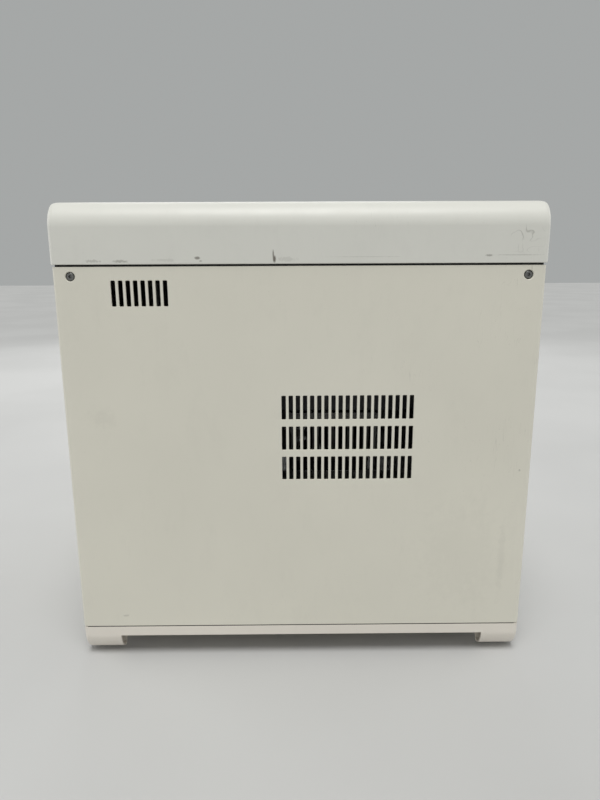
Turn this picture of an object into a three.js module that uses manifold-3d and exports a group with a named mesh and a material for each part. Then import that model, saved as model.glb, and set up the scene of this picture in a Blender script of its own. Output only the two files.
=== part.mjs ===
// A bench-top thermal cycler with optical read-out, as an assembly of separate pieces.
//
// The machine is a white box. Two wrap-around side panels, a front fascia and a rear panel stand on a
// moulded base and carry a rounded top cap. A motor-driven drawer brings the sample block, its heat sink
// and fan out through the front. Above the closed drawer a heated lid comes down on two lead screws, and
// an optics box with a fold mirror, a filter wheel and a camera looks through it at the wells.
//
// Millimetres, +Z up. The front faces -Y. The origin is on the bench, below the centre of the machine.

import * as THREE from "three";
import { mergeVertices } from "three/addons/utils/BufferGeometryUtils.js";
import Module from "manifold-3d";

const wasm = await Module();
wasm.setup();
const { Manifold, Mesh: SolidMesh } = wasm;

// ---- Driving dimensions ----

const BODY_HALF_X = 197.5;
const BODY_HALF_Y = 232.5;
const BODY_CORNER = 5;
const CAP_OVERHANG = 1;
const CAP_SIDE_ROUND = 24;
const CAP_END_ROUND = 3.5;
const CAP_CORNER = 5.5;
const CAP_WALL = 3;
const HEIGHT = 468;
const FOOT_BOTTOM = 2;
const FOOT_ROUND = 24;
const FOOT_ROUND_START = 24.5;
const BASE_UNDERSIDE = 23.3;
const BASE_TOP = 33.6;
const PANEL_BOTTOM = 34.7;
const PANEL_TOP = 408.4;
const CAP_BOTTOM = 410.1;
const CHASSIS_BOTTOM = 37.6;
const CHASSIS_TOP = 404;
const PANEL_SHEET = 2;
const PANEL_RETURN = 13;

// The fascia and the rear panel stand a little inside the side panels' bent edges.
const FACE_Y = 229;

const SLOT_WIDTH = 4.3;
const SLOT_HEIGHT = 24.2;
const SLOT_PITCH = 7;
const ROW_PITCH = 31.2;
const MAIN_VENT = { columns: 19, rows: 3, y: -46.4, z: 241 };
const SMALL_VENT = { columns: 8, rows: 1, y: 151.4, z: 383.6 };
const FRONT_VENT = { columns: 23, rows: 1, x: 0, z: 88 };
const REAR_VENT = { columns: 13, rows: 1, x: -92, z: 150 };

const SCREW_Y = 215.3;
const SCREW_Z = 399.5;
const SCREW_HEAD = 4;

// The drawer and what it carries are centred on the sample block.
const BLOCK_Y = -40;
const DRAWER_HALF_X = 120;
const DRAWER_BOTTOM = 139;
const DRAWER_TOP = 291;
const TRAY_Z = 146;
const TRAY_HALF_X = 95.9;
const TRAY_BACK = 55;
const SINK_BASE = 228;
const SINK_TOP = 240;
const BLOCK_BOTTOM = 244.6;
const BLOCK_TOP = 266.6;
const SURROUND_TOP = 273;
const WELL_PITCH = 9;
const WELL_COLUMNS = 12;
const WELL_ROWS = 8;

const RACK_MODULE = 1.5;
const PINION_TEETH = 18;
const PRESSURE_ANGLE = THREE.MathUtils.degToRad(20);
const BACKLASH = 0.3;
const RACK_X = 60;
const RACK_WIDTH = 8;
const RACK_PITCH_Z = 142;
const PINION_Y = -203;

const LID_Z = 281;
const LID_SCREW_X = 95;
const DECK_Z = 306;
const OPTICAL_AXIS_Z = 383;
const WHEEL_Z = 354;

const GAP = 0.3;

// ---- Materials ----

const finish = (color, roughness, metalness = 0) =>
  new THREE.MeshStandardMaterial({ color, roughness, metalness });

const material = {
  whitePaint: finish(0xd9d6cc, 0.5),
  whitePlastic: finish(0xd6d3c9, 0.45),
  greyPlastic: finish(0x8d9094, 0.5),
  blackPlastic: finish(0x1c1d1f, 0.55),
  rubber: finish(0x161616, 0.85),
  zinc: finish(0xa8abaa, 0.4, 0.9),
  aluminium: finish(0xc3c6c8, 0.35, 0.95),
  blackAluminium: finish(0x202123, 0.45, 0.6),
  steel: finish(0x9a9c9e, 0.3, 1),
  darkSteel: finish(0x3c3d3e, 0.35, 1),
  brass: finish(0xb39352, 0.35, 1),
  glass: finish(0x0b0d10, 0.08),
  mirror: finish(0xe6e8ea, 0.03, 1),
  ceramic: finish(0xe9e6dd, 0.6),
  board: finish(0x1f5b3c, 0.5),
};

// ---- Solids ----

/** A closed three.js geometry as a solid that can be joined and cut. */
function solid(geometry) {
  const plain = geometry.clone();
  plain.deleteAttribute("normal");
  plain.deleteAttribute("uv");
  const merged = mergeVertices(plain, 1e-4);
  return new Manifold(
    new SolidMesh({
      numProp: 3,
      vertProperties: new Float32Array(merged.attributes.position.array),
      triVerts: new Uint32Array(merged.index.array),
    }),
  );
}

/** A named mesh of a solid, for the scene graph. */
function piece(name, body, look) {
  const data = body.getMesh();
  const position = new THREE.BufferAttribute(Float32Array.from(data.vertProperties), 3);
  const geometry = new THREE.BufferGeometry();
  geometry.setAttribute("position", position);
  geometry.setIndex(new THREE.BufferAttribute(Uint32Array.from(data.triVerts), 1));
  geometry.computeVertexNormals();
  const mesh = new THREE.Mesh(geometry, look);
  mesh.name = name;
  return mesh;
}

const join = (bodies) => bodies.reduce((a, b) => a.add(b));
const cut = (body, tools) => (tools.length ? body.subtract(join(tools)) : body);

/** A box given by its lowest and highest corner. */
function box(x0, x1, y0, y1, z0, z1) {
  const geometry = new THREE.BoxGeometry(x1 - x0, y1 - y0, z1 - z0);
  return solid(geometry.translate((x0 + x1) / 2, (y0 + y1) / 2, (z0 + z1) / 2));
}

/** Turns a shape drawn in XY and extruded along +Z so that it runs along an axis. */
function alongAxis(geometry, axis, from, to) {
  const [x, y, z] = [0, 1, 2].map((i) => new THREE.Vector3().setComponent(i, 1));
  if (axis === "x") {
    const turn = new THREE.Matrix4().makeBasis(y, z, x);
    return geometry.applyMatrix4(turn).translate(from, 0, 0);
  }
  if (axis === "y") {
    const turn = new THREE.Matrix4().makeBasis(x, z, y.clone().negate());
    return geometry.applyMatrix4(turn).translate(0, to, 0);
  }
  return geometry.translate(0, 0, from);
}

/** An outline extruded along an axis. Outlines are (x, y) for z, (x, z) for y and (y, z) for x. */
function prism(outline, axis, from, to) {
  const shape = new THREE.Shape(outline.map(([a, b]) => new THREE.Vector2(a, b)));
  const geometry = new THREE.ExtrudeGeometry(shape, { depth: to - from, bevelEnabled: false });
  return solid(alongAxis(geometry, axis, from, to));
}

/** A cylinder along an axis, centred at (a, b) in the other two coordinates. */
function rod(axis, radius, from, to, [a, b], sides = 24) {
  const outline = circle(radius, sides).map(([u, v]) => [u + a, v + b]);
  return prism(outline, axis, from, to);
}

function circle(radius, sides) {
  return Array.from({ length: sides }, (_, i) => {
    const t = ((i + 0.5) / sides) * 2 * Math.PI;
    return [radius * Math.cos(t), radius * Math.sin(t)];
  });
}

const rectangle = (a0, a1, b0, b1) => [
  [a0, b0],
  [a1, b0],
  [a1, b1],
  [a0, b1],
];

/** A rectangle with round corners, anticlockwise, centred on (a, b). */
function roundedRectangle(halfA, halfB, radius, [a, b] = [0, 0], steps = 4) {
  const corners = [
    [1, 1, 0],
    [-1, 1, 90],
    [-1, -1, 180],
    [1, -1, 270],
  ];
  return corners.flatMap(([sa, sb, start]) =>
    Array.from({ length: steps + 1 }, (_, i) => {
      const t = THREE.MathUtils.degToRad(start + (90 * i) / steps);
      return [
        a + sa * (halfA - radius) + radius * Math.cos(t),
        b + sb * (halfB - radius) + radius * Math.sin(t),
      ];
    }),
  );
}

/** A solid through a stack of convex outlines, each [z, points], with as many points in each. */
function loft(stack) {
  const count = stack[0][1].length;
  const corners = stack.flatMap(([z, points]) => points.flatMap(([x, y]) => [x, y, z]));
  const faces = [];
  for (let level = 0; level < stack.length - 1; level++) {
    for (let i = 0; i < count; i++) {
      const a = level * count + i;
      const b = level * count + ((i + 1) % count);
      faces.push(a, b, b + count, a, b + count, a + count);
    }
  }
  const top = (stack.length - 1) * count;
  for (let i = 1; i < count - 1; i++) {
    faces.push(0, i + 1, i);
    faces.push(top, top + i, top + i + 1);
  }
  const geometry = new THREE.BufferGeometry();
  geometry.setAttribute("position", new THREE.Float32BufferAttribute(corners, 3));
  geometry.setIndex(faces);
  return solid(geometry);
}

/** How far a rounded edge has drawn in, at a height above the place where the rounding starts. */
const drawnIn = (radius, height) => radius - Math.sqrt(Math.max(0, radius ** 2 - height ** 2));

/** The slots of a vent, as tools. across is the coordinate along the row. */
function slots(vent, across, axis, from, to) {
  const tools = [];
  for (let row = 0; row < vent.rows; row++) {
    for (let column = 0; column < vent.columns; column++) {
      const a = vent[across] + (column - (vent.columns - 1) / 2) * SLOT_PITCH;
      const z = vent.z + (row - (vent.rows - 1) / 2) * ROW_PITCH;
      const [halfWidth, halfHeight] = [SLOT_WIDTH / 2, SLOT_HEIGHT / 2];
      const outline = rectangle(a - halfWidth, a + halfWidth, z - halfHeight, z + halfHeight);
      tools.push(prism(outline, axis, from, to));
    }
  }
  return tools;
}

/** The centres of the 96 wells. */
const wells = Array.from({ length: WELL_COLUMNS * WELL_ROWS }, (_, i) => [
  ((i % WELL_COLUMNS) - (WELL_COLUMNS - 1) / 2) * WELL_PITCH,
  BLOCK_Y + (Math.floor(i / WELL_COLUMNS) - (WELL_ROWS - 1) / 2) * WELL_PITCH,
]);

const sides = [
  ["left", -1],
  ["right", 1],
];
const ends = [
  ["front", -1],
  ["rear", 1],
];

// ---- Enclosure ----

/** The outline of the body, drawn in by a different amount at the sides and at the ends. */
const bodyOutline = (inX, inY, radius) =>
  roundedRectangle(BODY_HALF_X - inX, BODY_HALF_Y - inY, Math.max(radius, 0.5));

/** The moulded base: a shallow tray with a round-bottomed foot at each corner. */
function baseTray() {
  const wall = 3;
  const outer = loft([
    [BASE_UNDERSIDE, bodyOutline(0.8, 0.8, BODY_CORNER)],
    [BASE_UNDERSIDE + 0.8, bodyOutline(0, 0, BODY_CORNER)],
    [BASE_TOP, bodyOutline(0, 0, BODY_CORNER)],
  ]);
  const inner = loft([
    [BASE_UNDERSIDE + wall, bodyOutline(wall, wall, BODY_CORNER - wall)],
    [BASE_TOP + 1, bodyOutline(wall, wall, BODY_CORNER - wall)],
  ]);
  const intake = intakeSlots(3, BASE_UNDERSIDE - 1, BASE_UNDERSIDE + wall + 1);
  const feet = sides.flatMap(([, sx]) => ends.map(([, sy]) => foot(sx, sy)));
  return join([cut(outer, [inner, ...intake]), ...feet]);
}

/** The air intake under the drawer's fan: slots through the base, as tools. */
const intakeSlots = (halfWidth, z0, z1) =>
  [-48, -16, 16, 48].flatMap((x) =>
    [-73, -7].map((y) => box(x - halfWidth, x + halfWidth, y - 27, y + 27, z0, z1)),
  );

/** One moulded foot. Its outer face rolls under, its inner face slopes, and it is cut square at its end. */
function foot(sx, sy) {
  const endRound = 4;
  const length = 39.5;
  const depthAtTop = 28.8;
  const depthAtBottom = 18.6;
  const levels = [0, 0.8, 2.4, 5, 8.5, 13, 22].map((up) => FOOT_BOTTOM + up);
  const stack = levels.map((z) => {
    const up = z - FOOT_BOTTOM;
    const outX = BODY_HALF_X - drawnIn(FOOT_ROUND, Math.max(0, FOOT_ROUND_START - z));
    const outY = BODY_HALF_Y - drawnIn(endRound, Math.max(0, endRound - up));
    const share = up / (BASE_UNDERSIDE - FOOT_BOTTOM);
    const inX = BODY_HALF_X - depthAtBottom - (depthAtTop - depthAtBottom) * share;
    const inY = BODY_HALF_Y - length;
    const corner = Math.min(5, 0.6 * (outX - inX));
    const outline = [
      [inX, inY],
      [outX, inY],
      [outX, outY - corner],
      [outX - corner * 0.29, outY - corner * 0.29],
      [outX - corner, outY],
      [inX, outY],
    ];
    const turned = outline.map(([x, y]) => [sx * x, sy * y]);
    return [z, sx * sy > 0 ? turned : turned.reverse()];
  });
  return loft(stack);
}

const footPad = (sx, sy) =>
  join([
    rod("z", 12, 0, 18, [sx * 148, sy * 180], 20),
    rod("z", 9, 17, BASE_UNDERSIDE - GAP, [sx * 148, sy * 180], 12),
  ]);

/** A side panel: one sheet with round vertical bends, whose returns show on the front and the rear. */
function sidePanel(side, vents) {
  const arc = (radius, sy, start) =>
    Array.from({ length: 6 }, (_, i) => {
      const t = THREE.MathUtils.degToRad(start + (90 * i) / 5);
      const x = BODY_HALF_X - BODY_CORNER + radius * Math.cos(t);
      return [x, sy * (BODY_HALF_Y - BODY_CORNER) + radius * Math.sin(t)];
    });
  const returnX = BODY_HALF_X - PANEL_RETURN;
  const inner = BODY_CORNER - PANEL_SHEET;
  const outline = [
    [returnX, -BODY_HALF_Y],
    ...arc(BODY_CORNER, -1, -90),
    ...arc(BODY_CORNER, 1, 0),
    [returnX, BODY_HALF_Y],
    [returnX, BODY_HALF_Y - PANEL_SHEET],
    ...arc(inner, 1, 0).reverse(),
    ...arc(inner, -1, -90).reverse(),
    [returnX, -BODY_HALF_Y + PANEL_SHEET],
  ];
  const placed = outline.map(([x, y]) => [side * x, y]);
  const sheet = prism(side > 0 ? placed : placed.reverse(), "z", PANEL_BOTTOM, PANEL_TOP);
  const reach = [side * (BODY_HALF_X - 5), side * (BODY_HALF_X + 5)].sort((a, b) => a - b);
  const holes = ends.map(([, sy]) => rod("x", SCREW_HEAD + 0.3, ...reach, [sy * SCREW_Y, SCREW_Z], 20));
  return cut(sheet, [...vents.flatMap((v) => slots(v, "y", "x", ...reach)), ...holes]);
}

/** A countersunk socket-head screw along X, with its head's face at the origin. */
function panelScrew() {
  const head = new THREE.CylinderGeometry(SCREW_HEAD, 2.6, 2, 20);
  head.rotateZ(-Math.PI / 2).translate(-1, 0, 0);
  const shank = rod("x", 2, -10, -1, [0, 0], 12);
  const socket = rod("x", 1.45, -1.4, 1, [0, 0], 6);
  return cut(solid(head).add(shank), [socket]);
}

/** The top cap: large roundings along both sides, small ones at the front and rear, open below. */
function topCap() {
  const shell = (inset, sideRound, endRound, bottom) => {
    const top = HEIGHT - inset;
    const start = top - sideRound;
    const angles = [0, 14, 28, 42, 56, 70, 81, 90].map(THREE.MathUtils.degToRad);
    const heights = [bottom, ...angles.map((t) => start + sideRound * Math.sin(t))];
    return loft(
      heights.map((z) => {
        const x = BODY_HALF_X + CAP_OVERHANG - inset - drawnIn(sideRound, Math.max(0, z - start));
        const y = BODY_HALF_Y + CAP_OVERHANG - inset - drawnIn(endRound, Math.max(0, z - top + endRound));
        return [z, roundedRectangle(x, y, Math.max(CAP_CORNER - inset, 1))];
      }),
    );
  };
  const outer = shell(0, CAP_SIDE_ROUND, CAP_END_ROUND, CAP_BOTTOM);
  const inner = shell(CAP_WALL, CAP_SIDE_ROUND - CAP_WALL, 1, CAP_BOTTOM - 1);
  const crossRib = (y) => box(-120, 120, y - 1.5, y + 1.5, HEIGHT - 12, HEIGHT - CAP_WALL + 0.5);
  return join([cut(outer, [inner]), crossRib(-150), crossRib(0), crossRib(150), ...capLips()]);
}

/** Lips under the cap's rim, which hang inside the panels and close the seam to light and dust. */
function capLips() {
  const shelf = [CAP_BOTTOM + 1, CAP_BOTTOM + 3];
  const hang = [PANEL_TOP - 2.8, CAP_BOTTOM + 3];
  const lip = (x, y, z) => box(...x.sort((a, b) => a - b), ...y.sort((a, b) => a - b), ...z);
  const alongSides = sides.flatMap(([, s]) => [
    lip([s * 191.5, s * 198], [-227, 227], shelf),
    lip([s * 191.5, s * 194.5], [-227, 227], hang),
  ]);
  const atFront = [lip([-170, 170], [-232, -213.6], shelf), lip([-170, 170], [-216.4, -213.6], hang)];
  const atRear = [lip([-170, 170], [223.6, 232], shelf), lip([-170, 170], [223.6, 226.4], hang)];
  const corner = [
    [186.5, 226.5],
    [194.5, 226.5],
    [194.5, 228.2],
    [193, 229.8],
    [186.5, 229.8],
  ];
  const atCorners = sides.flatMap(([, sx]) =>
    ends.map(([, sy]) => {
      const turned = corner.map(([x, y]) => [sx * x, sy * y]);
      return prism(sx * sy > 0 ? turned : turned.reverse(), "z", ...hang);
    }),
  );
  return [...alongSides, ...atFront, ...atRear, ...atCorners];
}

/** The front fascia: a plate with a turned-back rim, the drawer opening, the display and the intake. */
function frontFascia() {
  const halfX = BODY_HALF_X - PANEL_RETURN - 0.8;
  const face = -FACE_Y;
  const plate = box(-halfX, halfX, face, face + 3, PANEL_BOTTOM, PANEL_TOP);
  const rim = cut(box(-halfX, halfX, face + 2.5, face + 12, PANEL_BOTTOM, PANEL_TOP), [
    box(-halfX + 3, halfX - 3, face, face + 20, PANEL_BOTTOM + 3, PANEL_TOP - 3),
  ]);
  const through = [face - 5, face + 8];
  return cut(plate.add(rim), [
    box(-DRAWER_HALF_X - 1, DRAWER_HALF_X + 1, ...through, DRAWER_BOTTOM - 1, DRAWER_TOP + 1),
    prism(roundedRectangle(122.4, 46.4, 4.4, [0, 346]), "y", ...through),
    rod("y", 9.4, ...through, [152, 346], 28),
    ...slots(FRONT_VENT, "x", "y", ...through),
  ]);
}

const touchscreenGlass = () =>
  prism(roundedRectangle(122, 46, 4, [0, 346]), "y", -FACE_Y - 0.4, -FACE_Y + 2.6);

const displayModule = () =>
  join([
    box(-92, 92, -FACE_Y + 3, -FACE_Y + 12, 302, 390),
    box(-80, 80, -FACE_Y + 11.5, -FACE_Y + 14, 306, 386),
    box(-60, 10, -FACE_Y + 13.5, -FACE_Y + 22, 320, 360),
  ]);

/** The rear panel, with openings for the exhaust fan, the power entry and the sockets. */
function rearPanel() {
  const halfX = BODY_HALF_X - PANEL_RETURN - 0.8;
  const sheet = box(-halfX, halfX, FACE_Y - PANEL_SHEET, FACE_Y, PANEL_BOTTOM, PANEL_TOP);
  const through = [FACE_Y - 8, FACE_Y + 5];
  return cut(sheet, [
    rod("y", 57, ...through, [FAN.x, FAN.z], 40),
    prism(roundedRectangle(POWER.halfX - 4.6, POWER.halfZ - 4.6, 1, [POWER.x, POWER.z], 2), "y", ...through),
    prism(rectangle(PORTS.x - 41.4, PORTS.x + 41.4, PORTS.z - 10.4, PORTS.z + 10.4), "y", ...through),
    ...slots(REAR_VENT, "x", "y", ...through),
  ]);
}

// ---- Chassis ----

const chassisFloor = () =>
  cut(
    box(-186, 186, -214, 222, BASE_TOP + 0.8, CHASSIS_BOTTOM - GAP),
    intakeSlots(5, BASE_TOP, CHASSIS_BOTTOM + 1),
  );

/** A side frame: a sheet with its top and bottom turned inwards, and windows behind the vents. */
function chassisSide(side, vents) {
  const outside = 190;
  const sheet = 1.5;
  const profile = [
    [outside, CHASSIS_BOTTOM],
    [outside, CHASSIS_TOP],
    [outside - 18, CHASSIS_TOP],
    [outside - 18, CHASSIS_TOP - sheet],
    [outside - sheet, CHASSIS_TOP - sheet],
    [outside - sheet, CHASSIS_BOTTOM + sheet],
    [outside - 14, CHASSIS_BOTTOM + sheet],
    [outside - 14, CHASSIS_BOTTOM],
  ].map(([x, z]) => [side * x, z]);
  const channel = prism(side > 0 ? profile.reverse() : profile, "y", -213, 223);
  const wall = [side * outside, side * (outside - sheet)].sort((a, b) => a - b);
  const frame = channel.add(box(...wall, -222, -212, SCREW_Z - 12, CHASSIS_TOP));
  const reach = [side * (outside - 10), side * (outside + 5)].sort((a, b) => a - b);
  const windows = vents.map((vent) => {
    const halfY = (vent.columns * SLOT_PITCH) / 2 + 5;
    const halfZ = (vent.rows * ROW_PITCH) / 2 + (vent.rows === 1 ? -0.5 : 3);
    return prism(roundedRectangle(halfY, halfZ, 4, [vent.y, vent.z], 2), "x", ...reach);
  });
  const access = box(...reach, 60, 190, 60, 300);
  const holes = ends.map(([, sy]) => rod("x", 2.4, ...reach, [sy * SCREW_Y, SCREW_Z], 12));
  return cut(frame, [...windows, access, ...holes]);
}

/** The deck that carries the drawer's slides: a plate with two upturned walls and an air hole. */
function drawerDeck() {
  const plate = box(-186, 186, -212, 90, 108, 110);
  const upright = (s, far, top) => box(...[s * 106, s * far].sort((a, b) => a - b), -212, 90, 109, top);
  const walls = sides.map(([, s]) => upright(s, 108, 176));
  const corners = sides.map(([, s]) => upright(s, 112, 111.5));
  const air = rod("z", 44, 100, 120, [0, BLOCK_Y], 32);
  return cut(join([plate, ...walls, ...corners]), [air]);
}

/** The deck that carries the optics, with the window over the block. */
function opticsDeck() {
  const plate = box(-186, 186, -190, 180, DECK_Z, DECK_Z + 3);
  const window = box(-57, 57, BLOCK_Y - 39, BLOCK_Y + 39, DECK_Z - 2, DECK_Z + 5);
  const bores = sides.map(([, s]) => rod("z", 6, DECK_Z - 2, DECK_Z + 5, [s * LID_SCREW_X, BLOCK_Y], 16));
  return cut(plate, [window, ...bores]);
}

// ---- Drawer ----

/** One member of a telescopic slide: a channel along Y, open towards the drawer. */
function slideMember(side, [x0, x1], [z0, z1], lip, thickness, [y0, y1]) {
  const outline = [
    [x0, z0],
    [x1, z0],
    [x1, z1],
    [x0, z1],
    [x0, z1 - thickness],
    [x1 - lip, z1 - thickness],
    [x1 - lip, z0 + thickness],
    [x0, z0 + thickness],
  ].map(([x, z]) => [side * x, z]);
  return prism(side > 0 ? outline : outline.reverse(), "y", y0, y1);
}

const SLIDE_LENGTH = [-218, 57];
const slideOuter = (side) => slideMember(side, [98.6, 105.6], [143, 173], 1.8, 2, SLIDE_LENGTH);
const slideMid = (side) => slideMember(side, [97.4, 103.2], [146, 170], 1.8, 2, SLIDE_LENGTH);
const slideInner = (side) =>
  box(...[side * 96.3, side * 100.6].sort((a, b) => a - b), ...SLIDE_LENGTH, 149.2, 166.8);

/** The drawer's front: a thick panel with soft edges and a finger scoop under its lower edge. */
function drawerFront() {
  const face = -FACE_Y - 2;
  const bevel = 2;
  const outline = (inset) =>
    roundedRectangle(
      DRAWER_HALF_X - inset,
      (DRAWER_TOP - DRAWER_BOTTOM) / 2 - inset,
      4,
      [0, (DRAWER_TOP + DRAWER_BOTTOM) / 2],
      3,
    );
  const geometry = new THREE.ExtrudeGeometry(
    new THREE.Shape(outline(bevel).map(([x, z]) => new THREE.Vector2(x, z))),
    { depth: 7 - bevel, bevelThickness: bevel, bevelSize: bevel, bevelSegments: 3, steps: 1 },
  );
  const slab = solid(alongAxis(geometry, "y", 0, -FACE_Y + 5));
  const scoop = rod("x", 26, -45, 45, [face - 21, DRAWER_BOTTOM - 2], 36);
  return cut(slab.intersect(box(-200, 200, face, face + 9, 100, 300)), [scoop]);
}

/** The drawer's tray: a sheet floor with side walls, a hole for the fan and posts for the heat sink. */
function drawerTray() {
  const front = -FACE_Y + 7.3;
  const floor = box(-TRAY_HALF_X, TRAY_HALF_X, front, TRAY_BACK, TRAY_Z, TRAY_Z + 2);
  const walls = sides.map(([, s]) => {
    const x = [s * (TRAY_HALF_X - 2), s * TRAY_HALF_X].sort((a, b) => a - b);
    return box(...x, front, TRAY_BACK, TRAY_Z + 1, TRAY_Z + 26);
  });
  const upright = box(-TRAY_HALF_X, TRAY_HALF_X, front, front + 2, TRAY_Z + 1, TRAY_Z + 110);
  const posts = sides.flatMap(([, s]) =>
    [-50, 50].map((dy) => rod("z", 3.2, TRAY_Z + 1, SINK_BASE - GAP, [s * 80, BLOCK_Y + dy], 10)),
  );
  const air = rod("z", 43, TRAY_Z - 2, TRAY_Z + 5, [0, BLOCK_Y], 32);
  return cut(join([floor, upright, ...walls, ...posts]), [air]);
}

/** The heat sink: a thick base with fins that run sideways, towards the side vents. */
function heatSink() {
  const halfY = 56;
  const finPitch = 6;
  const finThickness = 2;
  const count = 19;
  const comb = [
    [BLOCK_Y - halfY, SINK_TOP],
    [BLOCK_Y - halfY, SINK_BASE],
  ];
  for (let i = 0; i < count; i++) {
    const y = BLOCK_Y + (i - (count - 1) / 2) * finPitch - finThickness / 2;
    comb.push([y, SINK_BASE], [y, 177], [y + finThickness, 177], [y + finThickness, SINK_BASE]);
  }
  comb.push([BLOCK_Y + halfY, SINK_BASE], [BLOCK_Y + halfY, SINK_TOP]);
  const fins = prism(comb, "x", -74, 74);
  return fins.add(box(-86, 86, BLOCK_Y - halfY, BLOCK_Y + halfY, SINK_BASE, SINK_TOP));
}

function peltier(side) {
  const across = [side * 1, side * 60].sort((a, b) => a - b);
  return box(...across, BLOCK_Y - 40, BLOCK_Y + 40, SINK_TOP + GAP, BLOCK_BOTTOM - GAP);
}

/** The sample block: 96 conical wells in an aluminium slab. */
function sampleBlock() {
  const slab = box(-61.5, 61.5, BLOCK_Y - 41, BLOCK_Y + 41, BLOCK_BOTTOM, BLOCK_TOP);
  const tools = wells.map(([x, y]) => {
    const cone = new THREE.ConeGeometry(3, 18, 6);
    return solid(cone.rotateX(-Math.PI / 2).translate(x, y, BLOCK_TOP - 8.9));
  });
  return cut(slab, tools);
}

/** The plastic cover round the block, which shows when the drawer is out. */
function blockSurround() {
  const front = -FACE_Y + 9.8;
  const back = 45;
  const halfX = 91;
  const outer = prism(
    roundedRectangle(halfX, (back - front) / 2, 3, [0, (front + back) / 2], 2),
    "z",
    SINK_TOP + 4,
    SURROUND_TOP,
  );
  const inner = box(-halfX + 3, halfX - 3, front + 3, back - 3, SINK_TOP, SURROUND_TOP - 4);
  const nest = prism(roundedRectangle(65, 44, 3, [0, BLOCK_Y], 2), "z", SINK_TOP, SURROUND_TOP + 5);
  return cut(outer, [inner, nest]);
}

/** The rack under the tray. Its teeth point down, with a gap above the pinion's centre. */
function drawerRack() {
  const pitch = Math.PI * RACK_MODULE;
  const slope = Math.tan(PRESSURE_ANGLE);
  const tip = RACK_PITCH_Z - RACK_MODULE;
  const root = RACK_PITCH_Z + 1.25 * RACK_MODULE;
  const halfAtPitch = pitch / 4 - BACKLASH / 2;
  const halfAt = (z) => halfAtPitch - (RACK_PITCH_Z - z) * slope;
  const first = Math.ceil((-214 - PINION_Y) / pitch);
  const last = Math.floor((52 - PINION_Y) / pitch);
  const outline = [[-216, TRAY_Z - GAP], [-216, root]];
  for (let k = first; k < last; k++) {
    const y = PINION_Y + (k + 0.5) * pitch;
    outline.push([y - halfAt(root), root], [y - halfAt(tip), tip]);
    outline.push([y + halfAt(tip), tip], [y + halfAt(root), root]);
  }
  outline.push([TRAY_BACK, root], [TRAY_BACK, TRAY_Z - GAP]);
  return prism(outline, "x", RACK_X, RACK_X + RACK_WIDTH);
}

/** The pinion, about its own axis, with a tooth pointing up, and its shaft towards the motor. */
function drawerPinion() {
  const pitchRadius = (RACK_MODULE * PINION_TEETH) / 2;
  const base = pitchRadius * Math.cos(PRESSURE_ANGLE);
  const root = pitchRadius - 1.25 * RACK_MODULE;
  const tip = pitchRadius + RACK_MODULE;
  const involute = (angle) => Math.tan(angle) - angle;
  const halfAtPitch = Math.PI / (2 * PINION_TEETH) - BACKLASH / (2 * pitchRadius);
  const halfAt = (r) => {
    const angle = Math.acos(Math.min(1, base / Math.max(r, base)));
    return halfAtPitch + involute(PRESSURE_ANGLE) - involute(angle);
  };
  const radii = [root, base, base + 1.2, tip];
  const outline = [];
  for (let tooth = 0; tooth < PINION_TEETH; tooth++) {
    const middle = Math.PI / 2 + (tooth * 2 * Math.PI) / PINION_TEETH;
    const flank = (side) => (r) => {
      const t = middle + side * halfAt(r);
      return [r * Math.cos(t), r * Math.sin(t)];
    };
    outline.push(...radii.map(flank(-1)), ...[...radii].reverse().map(flank(1)));
  }
  return prism(outline, "x", 0, RACK_WIDTH).add(rod("x", 3, -7, 1, [0, 0], 12));
}

/** The gear motor that turns the pinion, on a foot that stands on the deck. */
function drawerMotor() {
  const z = RACK_PITCH_Z - (RACK_MODULE * PINION_TEETH) / 2;
  return join([
    rod("x", 12, 4, 50, [PINION_Y, z], 24),
    rod("x", 13.5, 28, 50, [PINION_Y, z], 24),
    box(8, 46, PINION_Y - 10, PINION_Y + 10, 110 + GAP, z),
  ]);
}

// ---- Heated lid ----

/** The heated plate, with one light slot over each column of wells. */
function heatedLidPlate() {
  const plate = box(-62, 62, BLOCK_Y - 42, BLOCK_Y + 42, LID_Z, LID_Z + 6);
  const lightSlots = Array.from({ length: WELL_COLUMNS }, (_, i) => {
    const x = (i - (WELL_COLUMNS - 1) / 2) * WELL_PITCH;
    return box(x - 2.5, x + 2.5, BLOCK_Y - 36, BLOCK_Y + 36, LID_Z - 1, LID_Z + 7);
  });
  return cut(plate, lightSlots);
}

const lidCarrier = () =>
  cut(
    prism(roundedRectangle(107, 54, 8, [0, BLOCK_Y], 3), "z", LID_Z + 6 + GAP, LID_Z + 15),
    [
      box(-56, 56, BLOCK_Y - 37, BLOCK_Y + 37, LID_Z, LID_Z + 20),
      ...sides.map(([, s]) => rod("z", 4.4, LID_Z, LID_Z + 20, [s * LID_SCREW_X, BLOCK_Y], 20)),
    ],
  );

/** A lead screw about its own axis, as a plain rod of the thread's outer diameter with a journal on top. */
const leadScrew = () =>
  join([
    rod("z", 4, LID_Z - 4, DECK_Z - 1, [0, 0], 16),
    rod("z", 3, DECK_Z - 2, DECK_Z + 3, [0, 0], 16),
  ]);

function liftMotor(side) {
  const centre = [side * LID_SCREW_X, BLOCK_Y];
  return join([
    prism(roundedRectangle(14, 14, 2.5, centre, 2), "z", DECK_Z + 3 + GAP, DECK_Z + 35),
    rod("z", 11, DECK_Z + 34, DECK_Z + 37, centre, 20),
  ]);
}

// ---- Optics ----

const OPTICS = { halfX: 68, front: -105, back: 30, top: 440 };

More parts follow.
